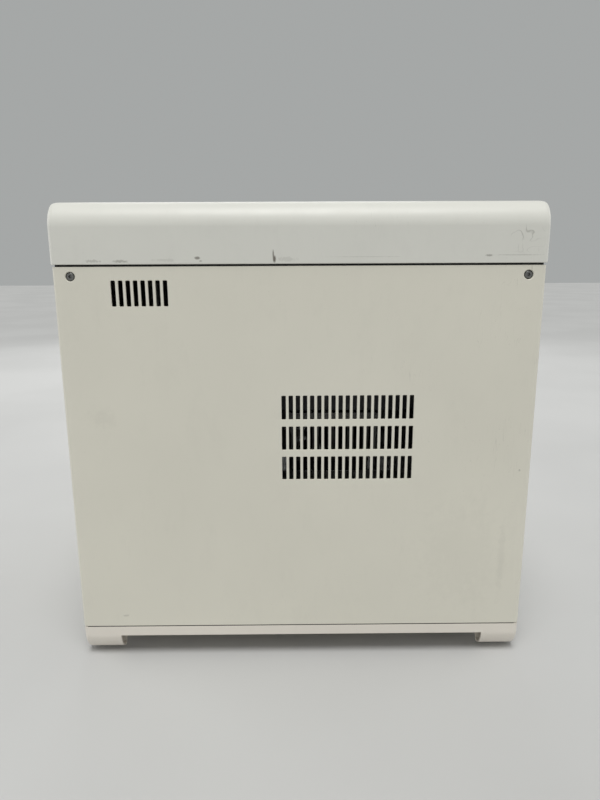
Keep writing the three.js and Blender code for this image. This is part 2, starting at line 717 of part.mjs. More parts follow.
/** The light-tight box over the block, open below and with a port for the camera. */
function opticsHousing() {
  const bottom = DECK_Z + 3 + GAP;
  const { halfX, front, back, top } = OPTICS;
  const outline = [
    [front, bottom],
    [back, bottom],
    [back, top],
    [front + 52, top],
    [front, top - 60],
  ];
  const inset = [
    [front + 3, bottom - 5],
    [back - 3, bottom - 5],
    [back - 3, top - 3],
    [front + 53.3, top - 3],
    [front + 3, top - 61.2],
  ];
  const shell = prism(outline, "x", -halfX, halfX);
  const hollow = prism(inset, "x", -halfX + 3, halfX - 3);
  const port = rod("y", 17, back - 8, back + 5, [0, OPTICAL_AXIS_Z], 28);
  const lamp = box(-24, 24, front - 2, front + 8, 330, 368);
  return cut(shell, [hollow, port, lamp]);
}

/** The fold mirror, about its own centre, facing +Z before it is turned. */
const foldMirror = () => box(-62, 62, -54, 54, -1.5, 1.5);

const cameraModule = () =>
  join([
    box(-34, 34, 80, 150, 350, 416),
    rod("y", 15, 44, 81, [0, OPTICAL_AXIS_Z], 28),
    rod("y", 12, 149, 158, [0, OPTICAL_AXIS_Z], 20),
    box(-20, 20, 90, 140, DECK_Z + 3 + GAP, 351),
  ]);

const lightSource = () =>
  join([
    box(-32, 32, -140, OPTICS.front - GAP, 326, 372),
    ...[-24, -12, 0, 12, 24].map((x) => box(x - 2, x + 2, -156, -139, 328, 370)),
    box(-26, 26, -136, -112, DECK_Z + 3 + GAP, 327),
  ]);

/** The filter wheel about its own axis, along Z before it is turned. */
function filterWheel() {
  const disc = rod("z", 41, -3, 3, [0, 0], 30);
  const holes = Array.from({ length: 6 }, (_, i) => {
    const t = ((i + 0.5) * Math.PI) / 3 - Math.PI / 6;
    const reach = OPTICAL_AXIS_Z - WHEEL_Z;
    return rod("z", 9.5, -5, 5, [reach * Math.sin(t), reach * Math.cos(t)], 12);
  });
  return cut(join([disc, rod("z", 8, -6, 6, [0, 0], 16)]), holes);
}

const filterWheelMotor = () =>
  join([
    rod("y", 11.5, 45, 70, [0, WHEEL_Z], 24),
    box(-14, 14, 46, 68, DECK_Z + 3 + GAP, WHEEL_Z - 8),
  ]);

// ---- Fans ----

const FAN = { x: -92, z: 280 };
const FAN_DEPTH = 25;
const FAN_HUB = 19;

/** A square fan frame about its own axis, with a hub on four arms at its lower face. */
function fanFrame(halfSize) {
  const bore = halfSize - 3;
  const body = prism(roundedRectangle(halfSize, halfSize, 5, [0, 0], 3), "z", 0, FAN_DEPTH);
  const cutOut = rod("z", bore, -1, FAN_DEPTH + 1, [0, 0], 24);
  const arm = (angle) => {
    const geometry = new THREE.BoxGeometry(2 * bore + 2, 4, 2.4).translate(0, 0, 1.2);
    return solid(geometry.rotateZ(angle));
  };
  const mounts = [1, -1].flatMap((sx) =>
    [1, -1].map((sy) => rod("z", 2.2, -1, FAN_DEPTH + 1, [sx * (halfSize - 5.5), sy * (halfSize - 5.5)], 8)),
  );
  const shell = cut(body, [cutOut, ...mounts]);
  return join([shell, arm(Math.PI / 4), arm(-Math.PI / 4), rod("z", FAN_HUB, 0, 3, [0, 0], 20)]);
}

/** A fan rotor about its own axis: a hub cap and pitched blades. */
function fanRotor(halfSize) {
  const tip = halfSize - 4.6;
  const blades = 7;
  const pitch = THREE.MathUtils.degToRad(42);
  const hub = rod("z", FAN_HUB - 0.6, 3.6, FAN_DEPTH - 1, [0, 0], 20);
  const blade = (angle) => {
    const geometry = new THREE.BoxGeometry(tip - FAN_HUB + 8, 24, 1.8).rotateX(pitch);
    geometry.translate((tip + FAN_HUB) / 2 - 2, 0, FAN_DEPTH / 2 + 1);
    return solid(geometry.rotateZ(angle));
  };
  const envelope = rod("z", tip, 4.2, FAN_DEPTH - 1.6, [0, 0], 24);
  const all = join(Array.from({ length: blades }, (_, i) => blade(0.1 + (i * 2 * Math.PI) / blades)));
  return hub.add(all.intersect(envelope));
}

/** A wire finger guard: rings on crossed wires, flat against the panel. */
function fanGuard() {
  const ring = (radius) => new THREE.TorusGeometry(radius, 1, 4, 20);
  const rings = [18, 35, 52].map((radius) => solid(ring(radius)));
  const wires = [1, -1].map((turn) => {
    const wire = new THREE.BoxGeometry(150, 1.6, 1.6);
    return solid(wire.rotateZ((turn * Math.PI) / 4).translate(0, 0, -0.5));
  });
  const eyes = [1, -1].flatMap((sx) => [1, -1].map((sy) => rod("z", 4, -1.3, 0.4, [sx * 53, sy * 53], 10)));
  return join([...rings, ...wires, ...eyes]);
}

// ---- Electronics and connections ----

const POWER = { x: 118, z: 92, halfX: 28, halfZ: 33 };
const PORTS = { x: -92, z: 80 };
const ROCKER = { y: FACE_Y - 3.5, z: POWER.z + 17, half: 9 };

/** The power entry: a flange with the inlet socket below and the rocker's opening above. */
function powerInlet() {
  const { x, z, halfX, halfZ } = POWER;
  const outside = FACE_Y + 2.2;
  const flange = prism(roundedRectangle(halfX, halfZ, 4, [x, z], 3), "y", FACE_Y + GAP, outside);
  const body = box(x - halfX + 5, x + halfX - 5, 200, FACE_Y + 1, z - halfZ + 5, z + halfZ - 5);
  const socket = [
    [x - 12.2, z - 20],
    [x + 12.2, z - 20],
    [x + 12.2, z - 8],
    [x + 8, z - 4],
    [x - 8, z - 4],
    [x - 12.2, z - 8],
  ];
  const opening = rectangle(x - 7, x + 7, ROCKER.z - ROCKER.half - 1.6, ROCKER.z + ROCKER.half + 1.6);
  return cut(flange.add(body), [
    prism(socket, "y", FACE_Y - 15, outside + 5),
    prism(opening, "y", FACE_Y - 12, outside + 5),
  ]);
}

/** The rocker about its pivot, along X, with a shallow V-shaped face towards +Y. */
const powerRocker = () =>
  prism(
    [
      [-4.5, -4],
      [3.6, -ROCKER.half],
      [4.9, -ROCKER.half + 0.8],
      [3.3, 0],
      [4.9, ROCKER.half - 0.8],
      [3.6, ROCKER.half],
      [-4.5, 4],
    ],
    "x",
    -6.4,
    6.4,
  );

/** The row of data sockets on one plate. */
function ioPorts() {
  const { x, z } = PORTS;
  const outside = FACE_Y + 1;
  const plate = box(x - 44, x + 44, FACE_Y + GAP, outside, z - 13, z + 13);
  const shells = box(x - 41, x + 41, FACE_Y - 16, FACE_Y + 0.6, z - 10, z + 10);
  const socket = (dx, halfX, halfZ) =>
    prism(rectangle(x + dx - halfX, x + dx + halfX, z - halfZ, z + halfZ), "y", FACE_Y - 13, outside + 5);
  return cut(plate.add(shells), [
    socket(-30, 6, 5.4),
    socket(-9, 6.5, 2.9),
    socket(9, 6.5, 2.9),
    socket(30, 7.4, 6),
  ]);
}

function powerSupply() {
  const [bottom, top] = [CHASSIS_BOTTOM + 8, CHASSIS_BOTTOM + 46];
  const louvres = [54, 74, 94, 114, 134, 154].map((x) => box(x, x + 8, 89, 92, bottom, top));
  return cut(box(40, 175, 90, 196, CHASSIS_BOTTOM, CHASSIS_BOTTOM + 54), louvres);
}

const controlBoard = () =>
  join([
    box(-150, 20, 118, 120, 122, 236),
    box(-140, -100, 106, 119, 140, 190),
    box(-80, -40, 112, 119, 150, 190),
    box(-30, 10, 104, 119, 130, 160),
    box(-30, 10, 110, 119, 176, 226),
    box(-140, -90, 108, 119, 204, 228),
  ]);

const powerButton = () =>
  prism(circle(9, 28).map(([a, b]) => [a + 152, b + 346]), "y", -FACE_Y - 1.6, -FACE_Y + 6);

// ---- Assembly ----

const assembly = new THREE.Group();

/** Adds a named piece, at a place and a turn where it isn't built in the machine's own frame. */
function add(name, body, look, place = [0, 0, 0], turn = [0, 0, 0]) {
  const mesh = piece(name, body, look);
  mesh.position.set(...place);
  mesh.rotation.set(...turn);
  assembly.add(mesh);
}

add("base_tray", baseTray(), material.whitePlastic);
for (const [side, sx] of sides) {
  for (const [end, sy] of ends) {
    add(`foot_pad_${end}_${side}`, footPad(sx, sy), material.rubber);
    const turn = sx > 0 ? [0, 0, 0] : [0, 0, Math.PI];
    add(`panel_screw_${side}_${end}`, panelScrew(), material.darkSteel, [
      sx * (BODY_HALF_X - 0.2),
      sy * SCREW_Y,
      SCREW_Z,
    ], turn);
  }
}
add("side_panel_left", sidePanel(-1, [MAIN_VENT, SMALL_VENT]), material.whitePaint);
add("side_panel_right", sidePanel(1, [MAIN_VENT]), material.whitePaint);
add("top_cap", topCap(), material.whitePlastic);
add("front_fascia", frontFascia(), material.whitePlastic);
add("touchscreen_glass", touchscreenGlass(), material.glass);
add("display_module", displayModule(), material.blackPlastic);
add("rear_panel", rearPanel(), material.whitePaint);

add("chassis_floor", chassisFloor(), material.zinc);
add("chassis_side_left", chassisSide(-1, [MAIN_VENT, SMALL_VENT]), material.zinc);
add("chassis_side_right", chassisSide(1, [MAIN_VENT]), material.zinc);
add("drawer_deck", drawerDeck(), material.zinc);
add("optics_deck", opticsDeck(), material.zinc);

for (const [side, sx] of sides) {
  add(`slide_outer_${side}`, slideOuter(sx), material.steel);
  add(`slide_mid_${side}`, slideMid(sx), material.steel);
  add(`slide_inner_${side}`, slideInner(sx), material.steel);
  add(`peltier_${side}`, peltier(sx), material.ceramic);
  add(`lift_motor_${side}`, liftMotor(sx), material.blackPlastic);
  add(`lead_screw_${side}`, leadScrew(), material.steel, [sx * LID_SCREW_X, BLOCK_Y, 0]);
}
add("drawer_front", drawerFront(), material.whitePlastic);
add("drawer_tray", drawerTray(), material.zinc);
add("heat_sink", heatSink(), material.aluminium);
add("sample_block", sampleBlock(), material.aluminium);
add("block_surround", blockSurround(), material.greyPlastic);
add("drawer_rack", drawerRack(), material.blackPlastic);
add("drawer_motor", drawerMotor(), material.steel);
add("drawer_pinion", drawerPinion(), material.brass, [
  RACK_X,
  PINION_Y,
  RACK_PITCH_Z - (RACK_MODULE * PINION_TEETH) / 2,
]);
add("sink_fan_frame", fanFrame(46), material.blackPlastic, [0, BLOCK_Y, TRAY_Z + 2 + GAP]);
add("sink_fan_rotor", fanRotor(46), material.blackPlastic, [0, BLOCK_Y, TRAY_Z + 2 + GAP]);

add("heated_lid_plate", heatedLidPlate(), material.blackAluminium);
add("lid_carrier", lidCarrier(), material.aluminium);

add("optics_housing", opticsHousing(), material.blackAluminium);
add(
  "fold_mirror",
  foldMirror(),
  material.mirror,
  [0, BLOCK_Y - 3, OPTICAL_AXIS_Z - 4],
  [-Math.PI * 0.75, 0, 0],
);
add("camera_module", cameraModule(), material.blackAluminium);
add("led_light_source", lightSource(), material.aluminium);
add("filter_wheel", filterWheel(), material.blackAluminium, [0, 37, WHEEL_Z], [-Math.PI / 2, 0, 0]);
add("filter_wheel_motor", filterWheelMotor(), material.steel);

const fanPlace = [FAN.x, FACE_Y - PANEL_SHEET - GAP - FAN_DEPTH, FAN.z];
const facingRear = [-Math.PI / 2, 0, 0];
add("exhaust_fan_frame", fanFrame(60), material.blackPlastic, fanPlace, facingRear);
add("exhaust_fan_rotor", fanRotor(60), material.blackPlastic, fanPlace, facingRear);
add("fan_guard", fanGuard(), material.steel, [FAN.x, FACE_Y + 1.5, FAN.z], facingRear);

add("power_inlet", powerInlet(), material.blackPlastic);
const rockerTilt = THREE.MathUtils.degToRad(7);
add("power_rocker", powerRocker(), material.blackPlastic, [POWER.x, ROCKER.y, ROCKER.z], [rockerTilt, 0, 0]);
add("io_ports", ioPorts(), material.steel);
add("power_supply", powerSupply(), material.zinc);
add("control_board", controlBoard(), material.board);
add("power_button", powerButton(), material.greyPlastic);

export default assembly;
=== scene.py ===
"""The looks of a bench-top thermal cycler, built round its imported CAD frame.

Metres, +Z up, the front faces -Y. The panel that the camera sees is the left one, at -X.
"""
import math

import bmesh
import bpy
from mathutils import Matrix, Vector
from mathutils.geometry import tessellate_polygon


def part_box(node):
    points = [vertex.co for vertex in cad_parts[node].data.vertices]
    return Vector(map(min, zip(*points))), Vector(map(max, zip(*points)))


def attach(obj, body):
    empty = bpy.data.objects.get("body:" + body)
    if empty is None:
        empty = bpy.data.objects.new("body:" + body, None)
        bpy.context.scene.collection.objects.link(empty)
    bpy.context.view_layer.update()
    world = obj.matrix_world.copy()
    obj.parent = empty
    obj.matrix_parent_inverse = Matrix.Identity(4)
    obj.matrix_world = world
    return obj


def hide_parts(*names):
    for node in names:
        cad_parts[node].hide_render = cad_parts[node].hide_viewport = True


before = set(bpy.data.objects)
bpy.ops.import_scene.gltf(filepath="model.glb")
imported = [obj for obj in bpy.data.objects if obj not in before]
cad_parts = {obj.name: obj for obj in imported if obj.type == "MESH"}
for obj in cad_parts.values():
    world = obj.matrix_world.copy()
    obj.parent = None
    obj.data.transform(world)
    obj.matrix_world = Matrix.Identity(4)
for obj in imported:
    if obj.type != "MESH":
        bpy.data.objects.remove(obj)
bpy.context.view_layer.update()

MM = 0.001

# ---- Sizes that the frame's boxes don't give, in metres ----

SHEET = 2 * MM
BEND = 5 * MM
SLOT_HALF_WIDTH = 2.15 * MM
SLOT_HALF_HEIGHT = 12.1 * MM
SLOT_CORNER = 0.9 * MM
SLOT_PITCH = 7 * MM
ROW_PITCH = 31.2 * MM
MAIN_VENT = {"columns": 19, "rows": 3, "across": -46.4 * MM, "z": 241 * MM}
SMALL_VENT = {"columns": 8, "rows": 1, "across": 151.4 * MM, "z": 383.6 * MM}
FRONT_VENT = {"columns": 23, "rows": 1, "across": 0, "z": 88 * MM}
REAR_VENT = {"columns": 13, "rows": 1, "across": -92 * MM, "z": 150 * MM}
CAP_SIDE_ROUND = 24 * MM
CAP_END_ROUND = 3.5 * MM
CAP_CORNER = 5.5 * MM
CAP_WALL = 3 * MM
BASE_ROUND = 24 * MM
BASE_UNDERSIDE = 23.3 * MM
FOOT_LENGTH = 39.5 * MM
FOOT_DEPTH = 28.8 * MM
FOOT_TIP_DEPTH = 18.6 * MM
DISPLAY = {"half_width": 80 * MM, "half_height": 40 * MM, "z": 346 * MM}
SOCKET_BACK, SOCKET_MOUTH = 215.5 * MM, 227.5 * MM
FAN_SCREW_OFFSET = 53 * MM
WELL_PITCH = 9 * MM
THREAD_PITCH = 2 * MM


# ---- Finishes: one short function for each material ----


class Finish:
    """A Principled material and short ways to build its nodes. Patterns use the piece's own coordinates."""

    def __init__(self, name, **sockets):
        self.material = bpy.data.materials.new(name)
        self.material.use_nodes = True
        self.tree = self.material.node_tree
        self.shader = self.tree.nodes["Principled BSDF"]
        self.place = self.tree.nodes.new("ShaderNodeTexCoord").outputs["Object"]
        for socket, value in sockets.items():
            self.shader.inputs[socket.replace("_", " ")].default_value = value

    def wire(self, source, target):
        """Feeds a socket from another socket, or sets it to a number, vector or colour."""
        if isinstance(source, bpy.types.NodeSocket):
            self.tree.links.new(source, target)
        else:
            target.default_value = source

    def math(self, operation, *values):
        node = self.tree.nodes.new("ShaderNodeMath")
        node.operation = operation
        for value, target in zip(values, node.inputs):
            self.wire(value, target)
        return node.outputs[0]

    def stretch(self, scale):
        """The piece's coordinates, multiplied along each axis."""
        node = self.tree.nodes.new("ShaderNodeVectorMath")
        node.operation = "MULTIPLY"
        self.wire(self.place, node.inputs[0])
        node.inputs[1].default_value = scale
        return node.outputs[0]

    def noise(self, scale, detail=2.0, rough=0.5, along=(1, 1, 1)):
        node = self.tree.nodes.new("ShaderNodeTexNoise")
        self.wire(self.stretch(along), node.inputs["Vector"])
        node.inputs["Scale"].default_value = scale
        node.inputs["Detail"].default_value = detail
        node.inputs["Roughness"].default_value = rough
        return node.outputs["Fac"]

    def cells(self, scale, along=(1, 1, 1), feature="F1", output="Distance"):
        node = self.tree.nodes.new("ShaderNodeTexVoronoi")
        node.feature = feature
        self.wire(self.stretch(along), node.inputs["Vector"])
        node.inputs["Scale"].default_value = scale
        return node.outputs[output]

    def span(self, value, low, high, to_low=0.0, to_high=1.0):
        """Maps low..high to to_low..to_high, and holds it there outside."""
        node = self.tree.nodes.new("ShaderNodeMapRange")
        for number, target in zip((value, low, high, to_low, to_high), node.inputs):
            self.wire(number, target)
        return node.outputs[0]

    def mix(self, share, a, b):
        node = self.tree.nodes.new("ShaderNodeMix")
        node.data_type = "RGBA"
        self.wire(share, node.inputs[0])
        self.wire(a if isinstance(a, bpy.types.NodeSocket) else (*a, 1), node.inputs[6])
        self.wire(b if isinstance(b, bpy.types.NodeSocket) else (*b, 1), node.inputs[7])
        return node.outputs[2]

    def colour(self, value):
        self.wire(value, self.shader.inputs["Base Color"])

    def rough(self, value):
        self.wire(value, self.shader.inputs["Roughness"])

    def times(self, *values):
        """The product of sockets and numbers."""
        product = values[0]
        for value in values[1:]:
            product = self.math("MULTIPLY", product, value)
        return product

    def bump(self, height, distance, strength):
        node = self.tree.nodes.new("ShaderNodeBump")
        self.wire(height, node.inputs["Height"])
        node.inputs["Distance"].default_value = distance
        node.inputs["Strength"].default_value = strength
        self.wire(node.outputs[0], self.shader.inputs["Normal"])

    def axis(self, name):
        node = self.tree.nodes.new("ShaderNodeSeparateXYZ")
        self.wire(self.place, node.inputs[0])
        return node.outputs[name]

    def patch(self, y, z, half_y, half_z, ragged, scale=300.0):
        """A soft, ragged patch on a side face: 1 in its middle, 0 outside."""
        dy = self.math("DIVIDE", self.math("SUBTRACT", self.axis("Y"), y), half_y)
        dz = self.math("DIVIDE", self.math("SUBTRACT", self.axis("Z"), z), half_z)
        far = self.math("SQRT", self.math("ADD", self.times(dy, dy), self.times(dz, dz)))
        torn = self.math("MULTIPLY_ADD", self.noise(scale, 4, 0.6), 2 * ragged, far)
        return self.span(torn, 0.45 + ragged, 1.0 + ragged, 1.0, 0.0)


def shaded(colour, factor):
    return tuple(min(1.0, c * factor) for c in colour)


def worn_white(name, colour, texture, roughness, marks=()):
    """A warm white coat: faint clouding and dust, a fine texture, and the marks of use."""
    f = Finish(name, Specular_IOR_Level=0.4)
    cloud = f.span(f.noise(5.0, 3, 0.55), 0.35, 0.65)
    base = f.mix(cloud, shaded(colour, 0.975), shaded(colour, 1.015))
    haze = f.span(f.noise(38.0, 5, 0.7, (1, 1.6, 0.7)), 0.52, 0.78, 0.0, 0.10)
    base = f.mix(haze, base, shaded(colour, 0.72))
    speck = f.span(f.cells(95.0), 0.02, 0.05, 0.22, 0.0)
    base = f.mix(speck, base, shaded(colour, 0.55))
    left = f.span(f.axis("X"), -150 * MM, -155 * MM) if marks else None
    for mark in marks:
        base = f.mix(f.times(mark(f), left), base, (0.16, 0.145, 0.12))
    f.colour(base)
    f.rough(f.span(f.noise(60.0, 3), 0.3, 0.7, roughness - 0.04, roughness + 0.05))
    f.bump(f.noise(texture, 2, 0.5), 0.00005, 0.35)
    return f.material


def fine_scratches(amount, y_from, y_to):
    """Thin upright and slanted scratches, thickest between two places along the machine."""

    def mark(f):
        lines = f.noise(26.0, 1, 0.5, (1, 9.0, 0.9))
        thin = f.span(f.math("ABSOLUTE", f.math("SUBTRACT", lines, 0.5)), 0.0, 0.006, 1.0, 0.0)
        broken = f.span(f.noise(14.0, 4, 0.65), 0.54, 0.66)
        where = f.span(f.axis("Y"), y_from, y_to, 0.1, 1.0)
        return f.times(thin, broken, where, amount)

    return mark


def spot(amount, *place, **ragged):
    """One mark at a place on the side: y, z and its half sizes."""
    return lambda f: f.times(f.patch(*place, **ragged), amount)


def scribble(amount, y, z, half_y, half_z):
    """A patch of thin curling scuff lines."""

    def mark(f):
        lines = f.noise(70.0, 1, 0.5, (1, 1, 1.4))
        thin = f.span(f.math("ABSOLUTE", f.math("SUBTRACT", lines, 0.5)), 0.0, 0.022, 1.0, 0.0)
        return f.times(thin, f.patch(y, z, half_y, half_z, 0.3, 90.0), amount)

    return mark


CAP_MARKS = (
    spot(0.95, 0.0238, 0.4148, 0.0018, 0.0042, ragged=0.2, scale=700.0),
    spot(0.80, 0.0248, 0.4190, 0.0009, 0.0052, ragged=0.2, scale=700.0),
    spot(0.75, 0.0955, 0.4160, 0.0032, 0.0017, ragged=0.35, scale=700.0),
    spot(0.40, 0.0925, 0.4132, 0.0018, 0.0010, ragged=0.4, scale=700.0),
    spot(0.30, 0.1925, 0.4134, 0.0090, 0.0016, ragged=1.1, scale=520.0),
    spot(0.45, 0.1675, 0.4132, 0.0085, 0.0015, ragged=1.1, scale=520.0),
    spot(0.16, 0.0125, 0.4146, 0.0100, 0.0024, ragged=1.0, scale=420.0),
    spot(0.14, 0.1260, 0.4140, 0.0120, 0.0018, ragged=1.0, scale=420.0),
    spot(0.50, -0.1765, 0.4172, 0.0040, 0.0013, ragged=0.6, scale=600.0),
    spot(0.22, -0.2030, 0.4176, 0.0280, 0.0007, ragged=0.6, scale=400.0),
    spot(0.16, -0.0600, 0.4165, 0.0400, 0.0005, ragged=0.8, scale=300.0),
    scribble(0.40, -0.211, 0.437, 0.017, 0.009),
    scribble(0.16, -0.211, 0.424, 0.018, 0.006),
    fine_scratches(0.22, 0.10, -0.22),
)
PANEL_MARKS = (
    fine_scratches(0.24, 0.06, -0.22),
    spot(0.030, -0.165, 0.115, 0.050, 0.070, ragged=1.1, scale=130.0),
    spot(0.055, -0.208, 0.110, 0.004, 0.050, ragged=1.0, scale=160.0),
    spot(0.045, 0.195, 0.262, 0.016, 0.010, ragged=1.1, scale=240.0),
    spot(0.30, -0.2205, 0.2060, 0.0014, 0.0016, ragged=0.4, scale=500.0),
    spot(0.22, 0.186, 0.047, 0.004, 0.0014, ragged=0.8),
)


def moulded(name, colour, roughness, grain=700.0, depth=0.00006):
    """A fine-textured plastic moulding."""
    f = Finish(name)
    tone = f.span(f.noise(9.0, 3), 0.35, 0.65)
    f.colour(f.mix(tone, shaded(colour, 0.94), shaded(colour, 1.06)))
    f.rough(f.span(f.noise(45.0, 4), 0.3, 0.7, roughness - 0.06, roughness + 0.06))
    f.bump(f.cells(grain), depth, 0.4)
    return f.material


def metal(name, colour, roughness, along=(1, 1, 1), scale=420.0, spread=0.10, depth=0.00002):
    """Bare or plated metal, with a grain drawn out along the axis whose factor is smallest."""
    f = Finish(name, Metallic=1.0)
    grain = f.noise(scale, 3, 0.6, along)
    tone = f.span(f.noise(7.0, 3), 0.3, 0.7)
    f.colour(f.mix(tone, shaded(colour, 0.90), shaded(colour, 1.08)))
    f.rough(f.span(grain, 0.3, 0.7, roughness - spread, roughness + spread))
    f.bump(grain, depth, 0.5)
    return f.material


def spangled(name, colour):
    """Zinc-plated sheet, with its faint crystal patches."""
    f = Finish(name, Metallic=1.0)
    patch = f.cells(65.0, output="Color")
    split = f.tree.nodes.new("ShaderNodeSeparateColor")
    f.wire(patch, split.inputs[0])
    f.colour(f.mix(split.outputs[0], shaded(colour, 0.86), shaded(colour, 1.08)))
    f.rough(f.span(split.outputs[1], 0.0, 1.0, 0.34, 0.52))
    f.bump(f.noise(260.0, 3), 0.00003, 0.4)
    return f.material


def screen_glass(name):
    """Black touch glass: a shade lighter over the switched-off display, with faint finger smears."""
    f = Finish(name, Coat_Weight=0.6, Coat_Roughness=0.03)
    blur = 0.5 * MM

    def within(distance, half):
        return f.span(f.math("ABSOLUTE", distance), half - blur, half + blur, 1.0, 0.0)

    inside_x = within(f.axis("X"), DISPLAY["half_width"])
    inside_z = within(f.math("SUBTRACT", f.axis("Z"), DISPLAY["z"]), DISPLAY["half_height"])
    f.colour(f.mix(f.times(inside_x, inside_z), (0.004, 0.004, 0.005), (0.013, 0.015, 0.019)))
    f.rough(f.span(f.noise(24.0, 5, 0.65, (1, 1, 2.2)), 0.5, 0.75, 0.05, 0.22))
    return f.material


def circuit_board(name):
    """Green solder mask over copper tracks."""
    f = Finish(name, Coat_Weight=0.3)
    tracks = f.span(f.cells(320.0, (1, 1, 0.25), "DISTANCE_TO_EDGE"), 0.03, 0.06, 1.0, 0.0)
    f.colour(f.mix(tracks, (0.012, 0.085, 0.035), (0.03, 0.16, 0.06)))
    f.rough(f.span(f.noise(80.0), 0.3, 0.7, 0.3, 0.45))
    f.bump(tracks, 0.00005, 0.6)
    return f.material


WHITE = (0.775, 0.750, 0.655)
CAP_WHITE = (0.760, 0.755, 0.700)
BASE_WHITE = (0.830, 0.780, 0.705)
LOOKS = {
    "white_paint": (worn_white, WHITE, 900.0, 0.46, PANEL_MARKS),
    "white_paint_clean": (worn_white, WHITE, 900.0, 0.46, [fine_scratches(0.15, 0.2, -0.2)]),
    "white_plastic": (worn_white, CAP_WHITE, 1500.0, 0.40, CAP_MARKS),
    "white_plastic_clean": (worn_white, CAP_WHITE, 1500.0, 0.42),
    "base_plastic": (worn_white, BASE_WHITE, 1500.0, 0.42),
    "grey_plastic": (moulded, (0.075, 0.08, 0.085), 0.45),
    "black_plastic": (moulded, (0.012, 0.012, 0.014), 0.42),
    "rubber": (moulded, (0.012, 0.012, 0.012), 0.72, 900.0, 0.0001),
    "screen_glass": (screen_glass,),
    "zinc_steel": (spangled, (0.42, 0.43, 0.42)),
    "bright_steel": (metal, (0.46, 0.46, 0.455), 0.26, (1, 0.12, 1)),
    "dark_steel": (metal, (0.21, 0.21, 0.205), 0.36),
    "aluminium": (metal, (0.58, 0.59, 0.60), 0.32, (0.1, 1, 1)),
    "block_aluminium": (metal, (0.66, 0.67, 0.68), 0.24, (0.15, 1, 1), 700.0, 0.06),
    "dull_aluminium": (metal, (0.23, 0.225, 0.215), 0.48, (0.1, 1, 1)),
    "black_aluminium": (metal, (0.03, 0.03, 0.032), 0.42, (1, 1, 1), 900.0),
    "brass": (metal, (0.58, 0.42, 0.17), 0.25, (0.1, 1, 1)),
    "mirror": (metal, (0.88, 0.89, 0.90), 0.03, (1, 1, 1), 30.0, 0.015, 0.0),
    "ceramic": (moulded, (0.76, 0.74, 0.68), 0.6, 1200.0),
    "circuit_board": (circuit_board,),
}
FINISHES = {name: make(name, *values) for name, (make, *values) in LOOKS.items()}


# ---- Mesh helpers ----


def centre_of(node):
    """The middle of a CAD piece's box: x, y and z."""
    low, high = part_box(node)
    return [(a + b) / 2 for a, b in zip(low, high)]


def in_mm(points):
    """Pairs of millimetres, in metres."""
    return [(a * MM, b * MM) for a, b in points]


def rounded_rectangle(half_a, half_b, radius, centre=(0.0, 0.0), steps=8):
    """An anticlockwise rectangle with round corners."""
    points = []
    for corner, (sa, sb) in enumerate(((1, 1), (-1, 1), (-1, -1), (1, -1))):
        for i in range(steps + 1):
            t = math.radians(90 * corner + 90 * i / steps)
            a = centre[0] + sa * (half_a - radius) + radius * math.cos(t)
            b = centre[1] + sb * (half_b - radius) + radius * math.sin(t)
            points.append((a, b))
    return points


def circle(radius, centre=(0.0, 0.0), steps=32):
    angles = [2 * math.pi * i / steps for i in range(steps)]
    return [(centre[0] + radius * math.cos(t), centre[1] + radius * math.sin(t)) for t in angles]


def rounding(radius, steps=3):
    """Pairs (inset, depth) round a quarter circle, from the face to the side."""
    angles = [0.5 * math.pi * i / steps for i in range(steps + 1)]
    return [(radius * (1 - math.sin(t)), radius * (1 - math.cos(t))) for t in angles]


def drawn_in(radius, height):
    return radius - math.sqrt(max(0.0, radius**2 - height**2))


def bridge(bm, lower, upper, closed=True):
    """Quads between two rows of vertices with as many in each."""
    count = len(lower)
    for i in range(count if closed else count - 1):
        k = (i + 1) % count
        bm.faces.new((lower[i], lower[k], upper[k], upper[i]))


def tube(bm, loops, cap=True):
    """A closed skin through loops of points, with a cap at each end."""
    rows = [[bm.verts.new(p) for p in loop] for loop in loops]
    for lower, upper in zip(rows, rows[1:]):
        bridge(bm, lower, upper)
    if cap:
        bm.faces.new(rows[0])
        bm.faces.new(rows[-1])
    return rows


def block(bm, low, high, edge=0.0):
    """A box between two corners, with its edges rounded."""
    low, high = Vector(low), Vector(high)
    made = bmesh.ops.create_cube(bm, size=1.0)
    bmesh.ops.scale(bm, vec=high - low, verts=made["verts"])
    bmesh.ops.translate(bm, vec=(low + high) / 2, verts=made["verts"])
    if edge:
        edges = {e for v in made["verts"] for e in v.link_edges}
        bmesh.ops.bevel(bm, geom=list(edges), offset=edge, segments=2, profile=0.5, affect="EDGES")


def disc(bm, profile, place, steps=40):
    """A turned solid: profile is (radius, height) from end to end, and place maps (a, b, height)."""
    loops = [[place(a, b, h) for a, b in circle(max(r, 1e-5), steps=steps)] for r, h in profile]
    tube(bm, loops)


def plate(bm, outline, holes, place, open_sides=()):
    """A flat plate with holes through it.

    outline and each hole are lists of (points, depth) from the front face to the back one.
    place(a, b, depth) gives the point in space. The outline's sides numbered in open_sides get no wall.
    """

    def rows_of(levels):
        return [[bm.verts.new(place(a, b, depth)) for a, b in points] for points, depth in levels]

    outer = rows_of(outline)
    inner = [rows_of(levels) for levels in holes]
    for end in (0, -1):
        loops = [outline[end][0]] + [levels[end][0] for levels in holes]
        rows = outer[end] + [v for rows in inner for v in rows[end]]
        for triangle in tessellate_polygon([[Vector((a, b, 0)) for a, b in loop] for loop in loops]):
            bm.faces.new([rows[i] for i in triangle])
    for rows in inner:
        for lower, upper in zip(rows, rows[1:]):
            bridge(bm, lower, upper)
    for lower, upper in zip(outer, outer[1:]):
        for i in range(len(lower)):
            if i not in open_sides:
                k = (i + 1) % len(lower)
                bm.faces.new((lower[i], lower[k], upper[k], upper[i]))


